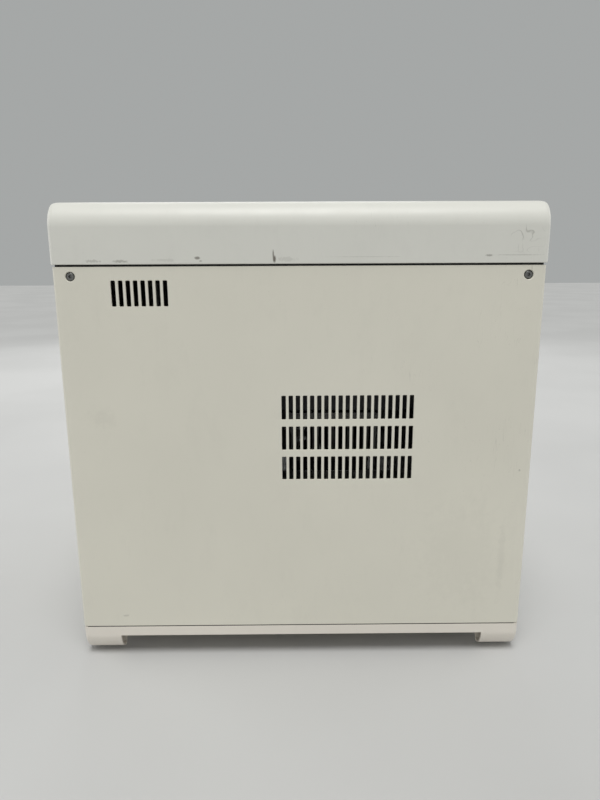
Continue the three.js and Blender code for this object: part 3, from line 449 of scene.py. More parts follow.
def pocketed(bm, outline, pockets, place):
    """A solid with blind pockets in its front face, each given as plate's outline and holes are."""
    rim = []
    for levels in (outline, *pockets):
        rows = [[bm.verts.new(place(a, b, depth)) for a, b in points] for points, depth in levels]
        for lower, upper in zip(rows, rows[1:]):
            bridge(bm, lower, upper)
        bm.faces.new(rows[-1])
        rim += rows[0]
    loops = [[Vector((a, b, 0)) for a, b in levels[0][0]] for levels in (outline, *pockets)]
    for triangle in tessellate_polygon(loops):
        bm.faces.new([rim[i] for i in triangle])


def softened(outline_at, thickness, edge, steps=3):
    """Levels of a plate's outline or hole whose two edges are rounded. outline_at(inset) gives its points."""
    front = [(outline_at(inset), depth) for inset, depth in rounding(edge, steps)]
    back = [(outline_at(inset), thickness - depth) for inset, depth in reversed(rounding(edge, steps))]
    return front + back


def slot_hole(a, b, thickness):
    def grown(inset):
        half = (SLOT_HALF_WIDTH + inset, SLOT_HALF_HEIGHT + inset)
        return rounded_rectangle(*half, SLOT_CORNER + inset, (a, b), 4)

    return softened(grown, thickness, 0.35 * MM, 2)


def vent_holes(vent, thickness):
    holes = []
    for row in range(vent["rows"]):
        for column in range(vent["columns"]):
            a = vent["across"] + (column - (vent["columns"] - 1) / 2) * SLOT_PITCH
            b = vent["z"] + (row - (vent["rows"] - 1) / 2) * ROW_PITCH
            holes.append(slot_hole(a, b, thickness))
    return holes


def round_hole(a, b, radius, thickness, edge=0.4 * MM, steps=32):
    return softened(lambda inset: circle(radius + inset, (a, b), steps), thickness, edge)


def window(node, margin, radius, thickness, edge, steps=8):
    """A rounded hole that follows a piece's outline in the XZ plane, larger than it by the margin."""
    low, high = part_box(node)
    x, _, z = centre_of(node)
    half_x, half_z = (high.x - low.x) / 2 + margin, (high.z - low.z) / 2 + margin
    grown = lambda inset: rounded_rectangle(half_x + inset, half_z + inset, radius + inset, (x, z), steps)
    return softened(grown, thickness, edge)


def sheet_outline(node, thickness):
    """The softened outline of an upright panel that is centred on x = 0."""
    low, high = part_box(node)
    z, half_z = (low.z + high.z) / 2, (high.z - low.z) / 2
    grown = lambda inset: rounded_rectangle(high.x - inset, half_z - inset, 1 * MM, (0, z), 3)
    return softened(grown, thickness, 0.4 * MM)


def tidy(bm):
    bmesh.ops.remove_doubles(bm, verts=bm.verts, dist=1e-6)
    bmesh.ops.recalc_face_normals(bm, faces=bm.faces)


def piece(name, bm, finish, body, replaces=(), sharp=35.0):
    """The mesh as a named piece of the machine: smooth but for its sharp edges, riding on a CAD body."""
    tidy(bm)
    mesh = bpy.data.meshes.new(name)
    bm.to_mesh(mesh)
    bm.free()
    mesh.shade_smooth()
    mesh.set_sharp_from_angle(angle=math.radians(sharp))
    mesh.materials.append(FINISHES[finish])
    obj = bpy.data.objects.new(name, mesh)
    bpy.context.scene.collection.objects.link(obj)
    weighted = obj.modifiers.new("weighted_normals", "WEIGHTED_NORMAL")
    weighted.keep_sharp = True
    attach(obj, body)
    if replaces:
        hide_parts(*replaces)


def holder(bm):
    """An object that holds a closed mesh for a moment."""
    tidy(bm)
    mesh = bpy.data.meshes.new("carving")
    bm.to_mesh(mesh)
    bm.free()
    obj = bpy.data.objects.new("carving", mesh)
    bpy.context.scene.collection.objects.link(obj)
    return obj


def carved(bm, cutters, edge=0.0):
    """bm with closed cutter meshes taken away from it, one after another, and its sharp edges rounded."""
    body = holder(bm)
    tools = [holder(cutter) for cutter in cutters]
    for tool in tools:
        cut = body.modifiers.new("cut", "BOOLEAN")
        cut.operation = "DIFFERENCE"
        cut.solver = "EXACT"
        cut.object = tool
    if edge:
        bevel = body.modifiers.new("bevel", "BEVEL")
        bevel.width = edge
        bevel.segments = 2
        bevel.limit_method = "ANGLE"
        bevel.angle_limit = math.radians(38)
    result = bmesh.new()
    result.from_object(body, bpy.context.evaluated_depsgraph_get())
    for obj in (body, *tools):
        bpy.data.objects.remove(obj)
    return result


# ---- Enclosure ----


def top_cap():
    """The cap: a shell with a shelf and a hanging lip along each edge, which reach behind the panels."""
    low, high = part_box("top_cap")
    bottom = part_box("side_panel_left")[1].z + 2 * MM
    half_x, half_y, top = high.x, high.y, high.z

    def loop(z, inset, side_round, end_round, ceiling):
        x = half_x - inset - drawn_in(side_round, max(0.0, z - ceiling + side_round))
        y = half_y - inset - drawn_in(end_round, max(0.0, z - ceiling + end_round))
        outline = rounded_rectangle(x, y, max(CAP_CORNER - inset, 1 * MM))
        return [(a, b, z) for a, b in outline]

    def arc(ceiling, radius, steps):
        return [ceiling - radius + radius * math.sin(0.5 * math.pi * i / steps) for i in range(steps + 1)]

    edge = rounding(0.7 * MM)
    outer = [loop(z, 0, CAP_SIDE_ROUND, CAP_END_ROUND, top) for z in reversed(arc(top, CAP_SIDE_ROUND, 30))]
    rim = [loop(bottom + inset, depth, CAP_SIDE_ROUND, CAP_END_ROUND, top) for inset, depth in edge]
    roof = top - CAP_WALL
    inner_round = CAP_SIDE_ROUND - CAP_WALL
    inner = [loop(z, CAP_WALL, inner_round, 1 * MM, roof) for z in [bottom, *arc(roof, inner_round, 12)]]
    bm = bmesh.new()
    tube(bm, outer + rim + inner)
    shelf, hang = (bottom + 1 * MM, bottom + 3 * MM), (low.z, bottom + 3 * MM)
    side_end, half_end = 227 * MM, 170 * MM
    corner = in_mm([(186.5, 226.5), (194.5, 226.5), (194.5, 228.2), (193, 229.8), (186.5, 229.8)])
    for s in (-1, 1):
        for outer_x, z in ((198, shelf), (194.5, hang)):
            x = sorted((s * 191.5 * MM, s * outer_x * MM))
            block(bm, (x[0], -side_end, z[0]), (x[1], side_end, z[1]))
        for t in (-1, 1):
            tube(bm, [[(s * x, t * y, z) for x, y in corner] for z in hang])
    end_lips = ((-232, -213.6, shelf), (-216.4, -213.6, hang), (223.6, 232, shelf), (223.6, 226.4, hang))
    for y0, y1, z in end_lips:
        block(bm, (-half_end, y0 * MM, z[0]), (half_end, y1 * MM, z[1]))
    piece("top_cap_shell", bm, "white_plastic", "housing", ["top_cap"])


def cap_seal():
    """A black strip on the outside of the cap's side lips, behind the seam: painted shade, a dark sheet that
    darkens the seam gap.
    """
    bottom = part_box("side_panel_left")[1].z - 1.1 * MM
    top = bottom + 3.2 * MM
    outside = in_mm([(195.3, 226.8), (195.3, 228.1), (193.2, 230.2), (186.5, 230.2)])
    inside = in_mm([(186.5, 229.9), (193.1, 229.9), (194.6, 228.2), (194.6, 226.8)])
    (outer_x, end), (inner_x, _) = outside[0], inside[-1]
    bm = bmesh.new()
    for s in (-1, 1):
        x = sorted((s * inner_x, s * outer_x))
        block(bm, (x[0], -end, bottom), (x[1], end, top), 0.2 * MM)
        for t in (-1, 1):
            tube(bm, [[(s * a, t * b, z) for a, b in outside + inside] for z in (bottom, top)])
    # The rubber finish is used only for its black: this strip is painted shade in the seam gap.
    piece("cap_seal", bm, "rubber", "housing")


def bent_panel(name, node, side, vents, finish):
    """A side panel: a pierced sheet, bent round two upright corners."""
    low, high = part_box(node)
    face = max(abs(low.x), abs(high.x))
    inner_end = min(abs(low.x), abs(high.x))
    flat = high.y - BEND
    edge = 0.4 * MM
    levels = rounding(edge) + [(inset, SHEET - depth) for inset, depth in reversed(rounding(edge))]

    def outline(inset):
        z0, z1 = low.z + inset, high.z - inset
        return [(-flat, z0), (flat, z0), (flat, z1), (-flat, z1)]

    holes = [hole for vent in vents for hole in vent_holes(vent, SHEET)]
    countersink = in_mm(((5.0, 0.0), (4.9, 0.08), (4.45, 0.5), (4.35, 0.62), (4.35, 2.0)))
    for end in ("front", "rear"):
        _, y, z = centre_of(f"panel_screw_{'left' if side < 0 else 'right'}_{end}")
        holes.append([(circle(r, (y, z), 40), depth) for r, depth in countersink])
    bm = bmesh.new()
    place = lambda a, b, depth: (side * (face - depth), a, b)
    plate(bm, [(outline(inset), depth) for inset, depth in levels], holes, place, open_sides=(1, 3))

    section = [(depth, low.z + inset) for inset, depth in levels]
    section += [(depth, high.z - inset) for inset, depth in reversed(levels)]
    for end in (-1, 1):
        loops = []
        for i in range(11):
            t = 0.5 * math.pi * i / 10
            along = lambda d: side * (face - BEND + (BEND - d) * math.cos(t))
            out = lambda d: end * (flat + (BEND - d) * math.sin(t))
            loops.append([(along(d), out(d), z) for d, z in section])
        loops.append([(side * inner_end, end * (high.y - d), z) for d, z in section])
        rows = tube(bm, loops, cap=False)
        bm.faces.new(rows[-1])
    piece(name, bm, finish, "housing", [node])


def base_moulding():
    """The base: its long edges roll under, and it is cut away between its four feet."""
    low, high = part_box("base_tray")
    top = high.z
    round_start = BASE_ROUND + 0.5 * MM
    rolled = lambda z: high.x - drawn_in(BASE_ROUND, max(0.0, round_start - z))

    def loop(z):
        y = high.y - drawn_in(4 * MM, max(0.0, low.z + 4 * MM - z))
        return [(a, b, z) for a, b in rounded_rectangle(rolled(z), y, 6 * MM)]

    heights = [round_start - BASE_ROUND * math.sin(0.5 * math.pi * i / 22) for i in range(23)]
    bm = bmesh.new()
    tube(bm, [loop(top)] + [loop(z) for z in heights if z > low.z] + [loop(low.z)])
    far, below = 0.3, -0.01
    crossways = bmesh.new()
    block(crossways, (-far, FOOT_LENGTH - high.y, below), (far, high.y - FOOT_LENGTH, BASE_UNDERSIDE))
    slope = (FOOT_DEPTH - FOOT_TIP_DEPTH) / (BASE_UNDERSIDE - low.z)
    inner = lambda z: high.x - FOOT_TIP_DEPTH - slope * (z - low.z)
    between = [(inner(below), below), (inner(BASE_UNDERSIDE), BASE_UNDERSIDE)]
    section = between + [(-x, z) for x, z in reversed(between)]
    lengthways = bmesh.new()
    tube(lengthways, [[(x, y, z) for x, z in section] for y in (-far, far)])
    cavity = bmesh.new()
    outline = rounded_rectangle(high.x - 3 * MM, high.y - 3 * MM, 3 * MM)
    tube(cavity, [[(a, b, z) for a, b in outline] for z in (BASE_UNDERSIDE + 3 * MM, top + 0.01)])
    slots = bmesh.new()
    for x in (-48, -16, 16, 48):
        for y in (-73, -7):
            slot = rounded_rectangle(3 * MM, 27 * MM, 2.5 * MM, (x * MM, y * MM), 4)
            levels = (BASE_UNDERSIDE - 2 * MM, BASE_UNDERSIDE + 5 * MM)
            tube(slots, [[(a, b, z) for a, b in slot] for z in levels])
    skin = 2.2 * MM
    levels = [low.z + 3.2 * MM, low.z + 5 * MM, low.z + 8 * MM, low.z + 12 * MM, BASE_UNDERSIDE - 1.6 * MM]
    outer_wall = [(max(rolled(z) - skin, inner(z) + skin + 0.5 * MM), z) for z in levels]
    inner_wall = [(inner(z) + skin, z) for z in reversed(levels)]
    pockets = bmesh.new()
    mouth = high.y - FOOT_LENGTH
    for sx in (-1, 1):
        for sy in (-1, 1):
            ends = (sy * (mouth - 5 * MM), sy * (mouth + 24 * MM))
            tube(pockets, [[(sx * x, y, z) for x, z in outer_wall + inner_wall] for y in ends])
    bm = carved(bm, [crossways, lengthways, cavity, slots, pockets], 0.6 * MM)
    piece("base_moulding", bm, "base_plastic", "housing", ["base_tray"], 50.0)


def base_seal():
    """A black strip on the base's rim, under each side panel: painted shade, a dark sheet that darkens the
    seam gap.
    """
    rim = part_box("base_tray")[1].z
    end, height = 227.5 * MM, 0.65 * MM
    bm = bmesh.new()
    for s in (-1, 1):
        x = sorted((s * 194.8 * MM, s * 197 * MM))
        block(bm, (x[0], -end, rim), (x[1], end, rim + height), 0.15 * MM)
    # The rubber finish is used only for its black: this strip is painted shade in the seam gap.
    piece("base_seal", bm, "rubber", "housing")


def foot_pads():
    """Four turned rubber feet."""
    profile = [(0, 0), (7, 0), (8, 0.5), (10.5, 0.5), (11.6, 1), (12, 2), (12, 17), (11.5, 18), (9, 18.2)]
    for end in ("front", "rear"):
        for side in ("left", "right"):
            node = f"foot_pad_{end}_{side}"
            low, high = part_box(node)
            x, y, _ = centre_of(node)
            top = high.z - low.z
            bm = bmesh.new()
            disc(bm, in_mm(profile) + [(9 * MM, top), (0, top)], lambda a, b, h: (x + a, y + b, h))
            piece(f"{node}_rubber", bm, "rubber", "housing", [node])


def panel_screws():
    """Countersunk socket screws: a flat, chamfered head with a six-sided socket."""
    turned = in_mm(((3.2, 0.05), (3.55, 0.4), (3.6, 0.8), (2.1, 2.3), (2.0, 2.5), (2.0, 9.6), (1.6, 10.0)))
    head = [(circle(r, steps=36), depth) for r, depth in turned]
    socket = [(circle(r, steps=6), depth) for r, depth in in_mm(((1.75, 0.05), (1.5, 0.35), (1.5, 2.2)))]
    for side, sx in (("left", -1), ("right", 1)):
        for end in ("front", "rear"):
            node = f"panel_screw_{side}_{end}"
            low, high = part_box(node)
            face = max(abs(low.x), abs(high.x))
            _, y, z = centre_of(node)
            bm = bmesh.new()
            pocketed(bm, head, [socket], lambda a, b, depth: (sx * (face - depth), y + a, z + b))
            piece(f"{node}_steel", bm, "dark_steel", "housing", [node])


def front_fascia():
    """The front moulding: a pierced face with a wall round its back."""
    low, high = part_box("front_fascia")
    button_x, _, button_z = centre_of("power_button")
    thick = 3 * MM
    holes = [
        window("drawer_front", 1 * MM, 4.6 * MM, thick, 0.5 * MM),
        window("touchscreen_glass", 0.4 * MM, 4.4 * MM, thick, 0.4 * MM),
        round_hole(button_x, button_z, 9.4 * MM, thick),
        *vent_holes(FRONT_VENT, thick),
    ]
    bm = bmesh.new()
    plate(bm, sheet_outline("front_fascia", thick), holes, lambda a, b, depth: (a, low.y + depth, b))
    back, front = high.y, low.y + thick - 0.2 * MM
    wall = 3 * MM
    for x in (low.x, high.x - wall):
        block(bm, (x, front, low.z), (x + wall, back, high.z))
    for z in (low.z, high.z - wall):
        block(bm, (low.x, front, z), (high.x, back, z + wall))
    piece("fascia_moulding", bm, "white_plastic_clean", "housing", ["front_fascia"])


def screen():
    low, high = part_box("touchscreen_glass")
    x, _, z = centre_of("touchscreen_glass")
    half_x, half_z = (high.x - low.x) / 2, (high.z - low.z) / 2
    grown = lambda inset: rounded_rectangle(half_x - inset, half_z - inset, 4 * MM - inset, (x, z))
    bm = bmesh.new()
    plate(bm, softened(grown, high.y - low.y, 0.5 * MM), [], lambda a, b, depth: (a, low.y + depth, b))
    piece("touch_glass", bm, "screen_glass", "housing", ["touchscreen_glass"])


def power_button():
    """A dished button with a raised rim."""
    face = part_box("power_button")[0].y
    x, _, z = centre_of("power_button")
    dish = [(0, 0.9), (4, 0.8), (6.6, 0.45), (7.6, 0.1)]
    rim = [(8.0, 0), (8.5, 0.1), (8.85, 0.45), (8.95, 1), (8.95, 7.6), (0, 7.6)]
    bm = bmesh.new()
    disc(bm, in_mm(dish + rim), lambda a, b, h: (x + a, face + h, z + b), 48)
    piece("button_cap", bm, "grey_plastic", "button", ["power_button"])


def rear_panel():
    """The rear sheet, with holes for the fan, the inlet, the sockets and a vent."""
    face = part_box("rear_panel")[1].y
    fan_x, _, fan_z = centre_of("exhaust_fan_frame")
    holes = [
        round_hole(fan_x, fan_z, 57 * MM, SHEET, steps=72),
        window("power_inlet", -4.6 * MM, 1 * MM, SHEET, 0.3 * MM, 3),
        window("io_ports", -2.6 * MM, 0.5 * MM, SHEET, 0.3 * MM, 3),
        *vent_holes(REAR_VENT, SHEET),
    ]
    bm = bmesh.new()
    plate(bm, sheet_outline("rear_panel", SHEET), holes, lambda a, b, depth: (a, face - depth, b))
    piece("rear_sheet", bm, "white_paint_clean", "housing", ["rear_panel"])


def pan_screw(name, centre, radius=3.0 * MM, height=1.7 * MM):
    """A small domed screw with a cross recess, whose head stands on a rear face at centre."""
    turn = Vector((0, 1, 0)).to_track_quat("Z", "Y").to_matrix()
    place = lambda a, b, h: Vector(centre) + turn @ Vector((a, b, h))
    dome = [(0, -0.5 * MM), (radius, -0.5 * MM), (radius, 0.25 * height)]
    dome += [(radius * math.cos(t), height * (0.25 + 0.75 * math.sin(t))) for t in (0.35, 0.7, 1.05, 1.35)]
    dome += [(0, height)]
    bm = bmesh.new()
    disc(bm, dome, place, 28)
    arm, half = 0.62 * radius, 0.16 * radius
    tools = []
    for a, b in ((arm, half), (half, arm)):
        corners = [(-a, -b), (a, -b), (a, b), (-a, b)]
        tools.append(bmesh.new())
        tube(tools[-1], [[place(u, v, h) for u, v in corners] for h in (height * 0.35, height * 1.5)])
    piece(name, carved(bm, tools), "bright_steel", "housing")


def rear_screws():
    low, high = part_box("rear_panel")
    number = 0
    for z in (low.z + 9 * MM, (low.z + high.z) / 2, high.z - 9 * MM):
        for x in (low.x + 8 * MM, high.x - 8 * MM):
            number += 1
            pan_screw(f"rear_screw_{number}", (x, high.y, z))
    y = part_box("fan_guard")[0].y + 1.7 * MM
    centre_x, _, centre_z = centre_of("fan_guard")
    for i, (sx, sz) in enumerate(((1, 1), (-1, 1), (-1, -1), (1, -1)), 1):
        place = (centre_x + sx * FAN_SCREW_OFFSET, y, centre_z + sz * FAN_SCREW_OFFSET)
        pan_screw(f"fan_screw_{i}", place, 2.6 * MM, 0.5 * MM)


def fan_guard():
    """Wire rings on two crossed wires, with an eye at each corner."""
    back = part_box("fan_guard")[0].y
    x, _, z = centre_of("fan_guard")
    wire = 0.75 * MM
    y = back + 1.2 * MM
    bm = bmesh.new()
    for radius in (17 * MM, 26 * MM, 35 * MM, 44 * MM, 53 * MM):
        loops = []
        for u, v in circle(1.0, steps=72):
            ring = circle(wire, steps=10)
            loops.append([(x + (radius + a) * u, y + 0.25 * MM + b, z + (radius + a) * v) for a, b in ring])
        rows = tube(bm, loops, cap=False)
        bridge(bm, rows[-1], rows[0])
    for turn in (-1, 1):
        along, across = Vector((1, 0, turn)).normalized(), Vector((-turn, 0, 1)).normalized()
        centre = Vector((x, y - 0.35 * MM, z))
        loops = []
        section = circle(0.8 * wire, steps=10)
        for s in (-74 * MM, 74 * MM):
            loops.append([centre + along * s + across * a + Vector((0, b, 0)) for a, b in section])
        tube(bm, loops)
    eye = in_mm([(0, 0), (3.9, 0), (4, 0.3), (4, 1.3), (3.8, 1.6), (0, 1.6)])
    for sx in (-1, 1):
        for sz in (-1, 1):
            eye_x, eye_z = x + sx * FAN_SCREW_OFFSET, z + sz * FAN_SCREW_OFFSET
            disc(bm, eye, lambda a, b, h: (eye_x + a, back + 0.1 * MM + h, eye_z + b), 24)
    piece("guard_wires", bm, "bright_steel", "housing", ["fan_guard"])


def fan(name, frame_node, rotor_node, rotor_body, frame_body, axis):
    """A square axial fan: a frame with a bore and a hub on arms, and a rotor with seven swept blades."""
    low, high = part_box(frame_node)
    centre = (low + high) / 2
    along = "xyz".index(axis)
    across = [i for i in range(3) if i != along]
    half = (high[across[0]] - low[across[0]]) / 2
    depth = high[along] - low[along]

    def place(a, b, h):
        point = centre.copy()
        point[across[0]] += a
        point[across[1]] += b
        point[along] = low[along] + h
        return point

    bore = half - 3 * MM
    flare = [(0, 1.5 * MM), (0.25, 0), (0.75, 0), (1, 1.5 * MM)]
    hole = [(circle(bore + grow, steps=72), share * depth) for share, grow in flare]
    square = lambda inset: rounded_rectangle(half - inset, half - inset, 5 * MM, steps=6)
    bolt = half - 5.5 * MM
    bolts = [(sx * bolt, sy * bolt) for sx in (-1, 1) for sy in (-1, 1)]
    bm = bmesh.new()
    bolt_holes = [round_hole(a, b, 2.2 * MM, depth, 0.3 * MM, 16) for a, b in bolts]
    plate(bm, softened(square, depth, 0.4 * MM), [hole, *bolt_holes], place)
    disc(bm, in_mm([(0, 0.2), (18.5, 0.2), (19, 0.6), (19, 3), (0, 3)]), place, 48)
    inner, outer, wide = 17 * MM, bore + 1 * MM, 1.6 * MM
    arm = [(inner, -wide), (outer, -wide), (outer, wide), (inner, wide)]
    for k in range(4):
        t = math.radians(45 + 90 * k)
        turned = [(math.cos(t) * a - math.sin(t) * b, math.sin(t) * a + math.cos(t) * b) for a, b in arm]
        tube(bm, [[place(a, b, h) for a, b in turned] for h in (0.4 * MM, 2.4 * MM)])
    piece(f"{name}_housing", bm, "black_plastic", frame_body, [frame_node])

    tip = half - 4.8 * MM
    bm = bmesh.new()
    crown = [(0, 3.7), (17.8, 3.7), (18.4, 4.3), (18.4, 22.5), (17.6, 23.6), (16, 24), (0, 24)]
    disc(bm, in_mm(crown), place, 48)
    for k in range(7):
        blade(bm, place, 2 * math.pi * k / 7, inner, tip)
    piece(f"{name}_impeller", bm, "black_plastic", rotor_body, [rotor_node])


def blade(bm, place, start, inner, tip):
    """One fan blade: thin, swept forwards and twisted, from the hub to the tip."""
    rows = []
    steps = 8
    for i in range(steps + 1):
        s = i / steps
        radius = inner + (tip - inner) * s
        sweep = start + 0.28 * s * s
        half_turn = (0.42 - 0.06 * s) * (1 - 0.25 * s)
        ring = []
        for side in (1, -1):
            for j in range(7):
                c = (j / 3 - 1) * side
                camber = 1.3 * MM * (1 - c * c)
                t = sweep + half_turn * c
                h = 13.6 * MM + 8.6 * MM * c * (1 - 0.2 * s) + camber + side * 0.55 * MM * (1.05 - c * c)
                ring.append(place(radius * math.cos(t), radius * math.sin(t), h))
        rows.append([bm.verts.new(p) for p in ring])
    for lower, upper in zip(rows, rows[1:]):
        bridge(bm, lower, upper)
    bm.faces.new(rows[0])
    bm.faces.new(rows[-1])


def power_entry_details():
    """The inlet's three flat contacts and its two screws."""
    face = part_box("power_inlet")[1].y
    x, _, z = centre_of("power_inlet")
    back = SOCKET_BACK - 2 * MM
    bm = bmesh.new()
    for dx, dz in in_mm(((-7, -16), (7, -16), (0, -10.5))):
        low = (x + dx - 1 * MM, back, z + dz - 2 * MM)
        high = (x + dx + 1 * MM, SOCKET_MOUTH, z + dz + 2 * MM)
        block(bm, low, high, 0.4 * MM)
    piece("inlet_contacts", bm, "bright_steel", "housing")
    for i, s in enumerate((-1, 1), 1):
        pan_screw(f"inlet_screw_{i}", (x + s * 24.5 * MM, face - 0.1 * MM, z), 2.2 * MM, 0.35 * MM)


def socket_details():
    """Contact tongues in the data sockets, and the network socket's eight wires."""
    x, _, z = centre_of("io_ports")
    bm = bmesh.new()
    for dx, half, dz in ((-9, 5.2, 0.9), (9, 5.2, 0.9), (-30, 3.4, 0.5)):
        low = (x + (dx - half) * MM, SOCKET_BACK, z + dz * MM)
        high = (x + (dx + half) * MM, SOCKET_MOUTH, z + (dz + 1.1) * MM)
        block(bm, low, high, 0.2 * MM)
    low, high = (x + 23.6 * MM, SOCKET_BACK, z - 5.4 * MM), (x + 36.4 * MM, 219 * MM, z - 3.2 * MM)
    block(bm, low, high, 0.2 * MM)
    piece("socket_tongues", bm, "black_plastic", "housing")
    network_x, wire_pitch, half_wire = x + 30 * MM, 1.27 * MM, 0.25 * MM
    bm = bmesh.new()
    for i in range(8):
        wire = network_x + (i - 3.5) * wire_pitch
        block(bm, (wire - half_wire, SOCKET_BACK, z + 3.8 * MM), (wire + half_wire, 226 * MM, z + 4.3 * MM))
    piece("network_contacts", bm, "brass", "housing")


# ---- Drawer ----


def drawer_front():
    """The drawer's door, with a hollow for the fingers in its lower edge."""
    low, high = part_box("drawer_front")
    centre_z, half_z = (low.z + high.z) / 2, (high.z - low.z) / 2
    grown = lambda inset: rounded_rectangle(high.x - inset, half_z - inset, 4 * MM, (0, centre_z))
    front = [(grown(inset), depth) for inset, depth in rounding(1.6 * MM, 5)]
    back = [(grown(inset), high.y - low.y - depth) for inset, depth in reversed(rounding(0.5 * MM, 2))]
    bm = bmesh.new()
    plate(bm, front + back, [], lambda a, b, depth: (a, low.y + depth, b))
    tools = bmesh.new()
    axis_y, axis_z, radius, reach = low.y - 21 * MM, low.z - 2 * MM, 26 * MM, 45 * MM
    half = [(radius, reach - 3 * MM), (radius - 3 * MM, reach), (0, reach)]
    profile = [(r, -h) for r, h in reversed(half)] + half
    disc(tools, profile, lambda a, b, h: (h, axis_y + a, axis_z + b), 96)
    bm = carved(bm, [tools], 0.5 * MM)
    piece("drawer_door", bm, "white_plastic_clean", "drawer", ["drawer_front"])


def sample_block():
    """The block: 96 conical wells with a chamfered rim."""
    low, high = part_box("sample_block")
    x, y, _ = centre_of("sample_block")
    half_x, half_y = (high.x - low.x) / 2, (high.y - low.y) / 2
    grown = lambda inset: rounded_rectangle(half_x - inset, half_y - inset, 2 * MM, (x, y), 5)
    outline = softened(grown, high.z - low.z, 0.5 * MM)
    rings = in_mm(((3.25, 0), (2.95, 0.3), (2.75, 3.5), (1.3, 14.6), (0.7, 15.4)))
    wells = []
    for i in range(12):
        for k in range(8):
            centre = ((i - 5.5) * WELL_PITCH + x, (k - 3.5) * WELL_PITCH + y)
            wells.append([(circle(r, centre, 20), depth) for r, depth in rings])
    bm = bmesh.new()
    pocketed(bm, outline, wells, lambda a, b, depth: (a, b, high.z - depth))
    piece("well_block", bm, "block_aluminium", "drawer", ["sample_block"])


def lead_screws():
    """Screws with a real helical thread."""
    for side in ("left", "right"):
        node = f"lead_screw_{side}"
        low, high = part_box(node)
        x, y, _ = centre_of(node)
        outer, inner = 4 * MM, 3.3 * MM
        journal = high.z - 5 * MM
        steps = 32
        section = ((0.0, inner), (0.2, inner), (0.35, outer), (0.75, outer), (0.9, inner))
        turns = math.ceil((journal - low.z) / THREAD_PITCH) + 1
        bm = bmesh.new()
        rows = []
        for i in range(turns * steps + 1):
            t = 2 * math.pi * i / steps
            rise = low.z - THREAD_PITCH + THREAD_PITCH * i / steps
            points = [(r, min(max(rise + share * THREAD_PITCH, low.z), journal)) for share, r in section]
            rows.append([bm.verts.new((x + r * math.cos(t), y + r * math.sin(t), z)) for r, z in points])
        for lower, upper in zip(rows, rows[1:]):
            bridge(bm, lower, upper, closed=False)
        start, shoulder, end = 0.1 * MM, journal - low.z, high.z - low.z
        thick, thin = inner + 0.05 * MM, 3 * MM
        core = [(0, start), (thick, start), (thick, shoulder)]
        core += [(thin, shoulder + 0.3 * MM), (thin, end), (0, end)]
        disc(bm, core, lambda a, b, h: (x + a, y + b, low.z + h), 32)
        piece(f"{node}_thread", bm, "bright_steel", f"screw_{side}", [node])


# ---- CAD pieces that stay: a finish, and the widths in millimetres of their rounded edges ----

KEPT = {
    "zinc_steel": {
        "chassis_floor": 0.3,
        "chassis_side_left": 0.25,
        "chassis_side_right": 0.25,
        "drawer_deck": 0.3,
        "optics_deck": 0.3,
        "drawer_tray": 0.3,
        "power_supply": 0.8,
    },
    "bright_steel": {
        "slide_outer_left": 0.25,
        "slide_outer_right": 0.25,
        "slide_mid_left": 0.25,
        "slide_mid_right": 0.25,
        "slide_inner_left": 0.4,
        "slide_inner_right": 0.4,
        "drawer_motor": 0.5,
        "filter_wheel_motor": 0.5,
        "io_ports": 0.3,
    },
    "black_plastic": {
        "display_module": 0.4,
        "lift_motor_left": 0.5,
        "lift_motor_right": 0.5,
        "drawer_rack": 0.12,
        "power_inlet": 0.5,
        "power_rocker": 0.5,
    },
    "black_aluminium": {
        "heated_lid_plate": 0.4,
        "optics_housing": 0.6,
        "camera_module": 0.8,
        "filter_wheel": 0.3,
    },
    "aluminium": {"lid_carrier": 0.5, "led_light_source": 0.5},
    "dull_aluminium": {"heat_sink": 0.25},
    "ceramic": {"peltier_left": 0.2, "peltier_right": 0.2},
    "grey_plastic": {"block_surround": 1.0},
    "brass": {"drawer_pinion": 0.12},
    "mirror": {"fold_mirror": 0.3},
    "circuit_board": {"control_board": 0.2},
}


def soften(obj, width):
    """Welds a CAD piece's facets together, rounds its edges and shades it smoothly, by modifiers alone."""
    obj.data.shade_smooth()
    weld = obj.modifiers.new("weld", "WELD")
    weld.merge_threshold = 1e-6
    dissolve = obj.modifiers.new("flat", "DECIMATE")
    dissolve.decimate_type = "DISSOLVE"
    dissolve.angle_limit = math.radians(0.5)
    bevel = obj.modifiers.new("edges", "BEVEL")
    bevel.width = width
    bevel.segments = 2
    bevel.limit_method = "ANGLE"
    bevel.angle_limit = math.radians(38)
    bevel.harden_normals = True
    weighted = obj.modifiers.new("weighted_normals", "WEIGHTED_NORMAL")
    weighted.keep_sharp = True


def finish_kept_nodes():
    """Gives each carried-over CAD piece its material and softens it."""
    for finish, widths in KEPT.items():
        for node, width in widths.items():
            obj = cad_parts[node]
            obj.data.materials.clear()
            obj.data.materials.append(FINISHES[finish])
            soften(obj, width * MM)


# ---- Stage ----


def area_light(name, place, size, power, colour=(1, 1, 1)):
    """A square light that faces the machine."""
    light = bpy.data.lights.new(name, "AREA")
    light.shape = "RECTANGLE"
    light.size = light.size_y = size
    light.energy = power
    light.color = colour
    obj = bpy.data.objects.new(name, light)
    obj.location = place
    obj.rotation_euler = (Vector((0, 0, 0.25)) - Vector(place)).to_track_quat("-Z", "Y").to_euler()
    bpy.context.scene.collection.objects.link(obj)


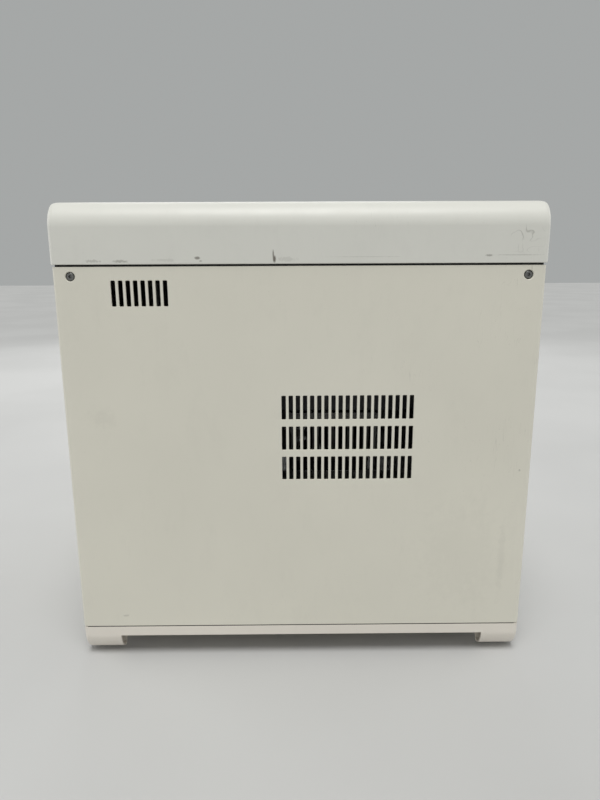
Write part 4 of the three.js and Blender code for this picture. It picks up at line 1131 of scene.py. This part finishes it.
def stage():
    """A pale floor, a soft overhead light that leans to the left, and fills, under a pale sky."""
    bm = bmesh.new()
    corners = [(15.0 * x, 15.0 * y, 0) for x, y in ((-1, -1), (1, -1), (1, 1), (-1, 1))]
    bm.faces.new([bm.verts.new(corner) for corner in corners])
    mesh = bpy.data.meshes.new("floor")
    bm.to_mesh(mesh)
    bm.free()
    floor = bpy.data.objects.new("floor", mesh)
    bpy.context.scene.collection.objects.link(floor)
    f = Finish("floor", Roughness=0.7)
    f.colour(f.mix(f.span(f.noise(1.5, 3), 0.4, 0.6), (0.49, 0.49, 0.485), (0.52, 0.52, 0.515)))
    mesh.materials.append(f.material)

    world = bpy.data.worlds.new("studio")
    world.use_nodes = True
    sky = world.node_tree.nodes["Background"]
    sky.inputs["Color"].default_value = (0.97, 1.0, 0.99, 1)
    sky.inputs["Strength"].default_value = 0.39
    bpy.context.scene.world = world

    sun = bpy.data.lights.new("overhead", "SUN")
    sun.energy = 1.95
    sun.angle = math.radians(30)
    sun.color = (1, 0.995, 0.98)
    overhead = bpy.data.objects.new("overhead", sun)
    overhead.rotation_euler = (0, math.radians(-17), 0)
    bpy.context.scene.collection.objects.link(overhead)
    warm = (1, 0.985, 0.96)
    area_light("fill_left", (-2.4, 1.6, 0.8), 1.6, 1.5, warm)
    area_light("fill_front", (-1.8, -2.3, 0.8), 1.6, 1.5, warm)
    area_light("side_front", (0.5, -2.6, 1.1), 1.6, 9)
    area_light("side_back", (0.5, 2.6, 1.1), 1.6, 14)
    area_light("fill_right", (2.4, 0.2, 1.3), 1.8, 14)


def camera():
    """A camera nearly square on to the left panel, above its middle and looking a little down."""
    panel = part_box("side_panel_left")[0].x
    distance, aside, height = 575.7 * MM, 4.5 * MM, 406.4 * MM
    data = bpy.data.cameras.new("camera")
    data.sensor_width = 36
    data.lens = 27.05
    data.clip_start = 0.01
    obj = bpy.data.objects.new("camera", data)
    obj.location = (panel - distance, aside, height)
    down, turn, roll = math.radians(12.378), math.radians(0.393), math.radians(0.272)
    ahead = Vector((math.cos(down) * math.cos(turn), -math.cos(down) * math.sin(turn), -math.sin(down)))
    right = ahead.cross(Vector((0, 0, 1))).normalized()
    up = right.cross(ahead)
    right, up = right * math.cos(roll) - up * math.sin(roll), up * math.cos(roll) + right * math.sin(roll)
    obj.matrix_world = Matrix.Translation(obj.location) @ Matrix((right, up, -ahead)).transposed().to_4x4()
    bpy.context.scene.collection.objects.link(obj)
    bpy.context.scene.camera = obj


camera()
top_cap()
cap_seal()
bent_panel("side_sheet_left", "side_panel_left", -1, (MAIN_VENT, SMALL_VENT), "white_paint")
bent_panel("side_sheet_right", "side_panel_right", 1, (MAIN_VENT,), "white_paint_clean")
base_moulding()
base_seal()
foot_pads()
panel_screws()
front_fascia()
screen()
power_button()
rear_panel()
rear_screws()
fan_guard()
fan("exhaust_fan", "exhaust_fan_frame", "exhaust_fan_rotor", "exhaust_fan", "housing", "y")
fan("sink_fan", "sink_fan_frame", "sink_fan_rotor", "sink_fan", "drawer", "z")
power_entry_details()
socket_details()
drawer_front()
sample_block()
lead_screws()
finish_kept_nodes()
stage()
bpy.context.scene.view_settings.view_transform = "Standard"
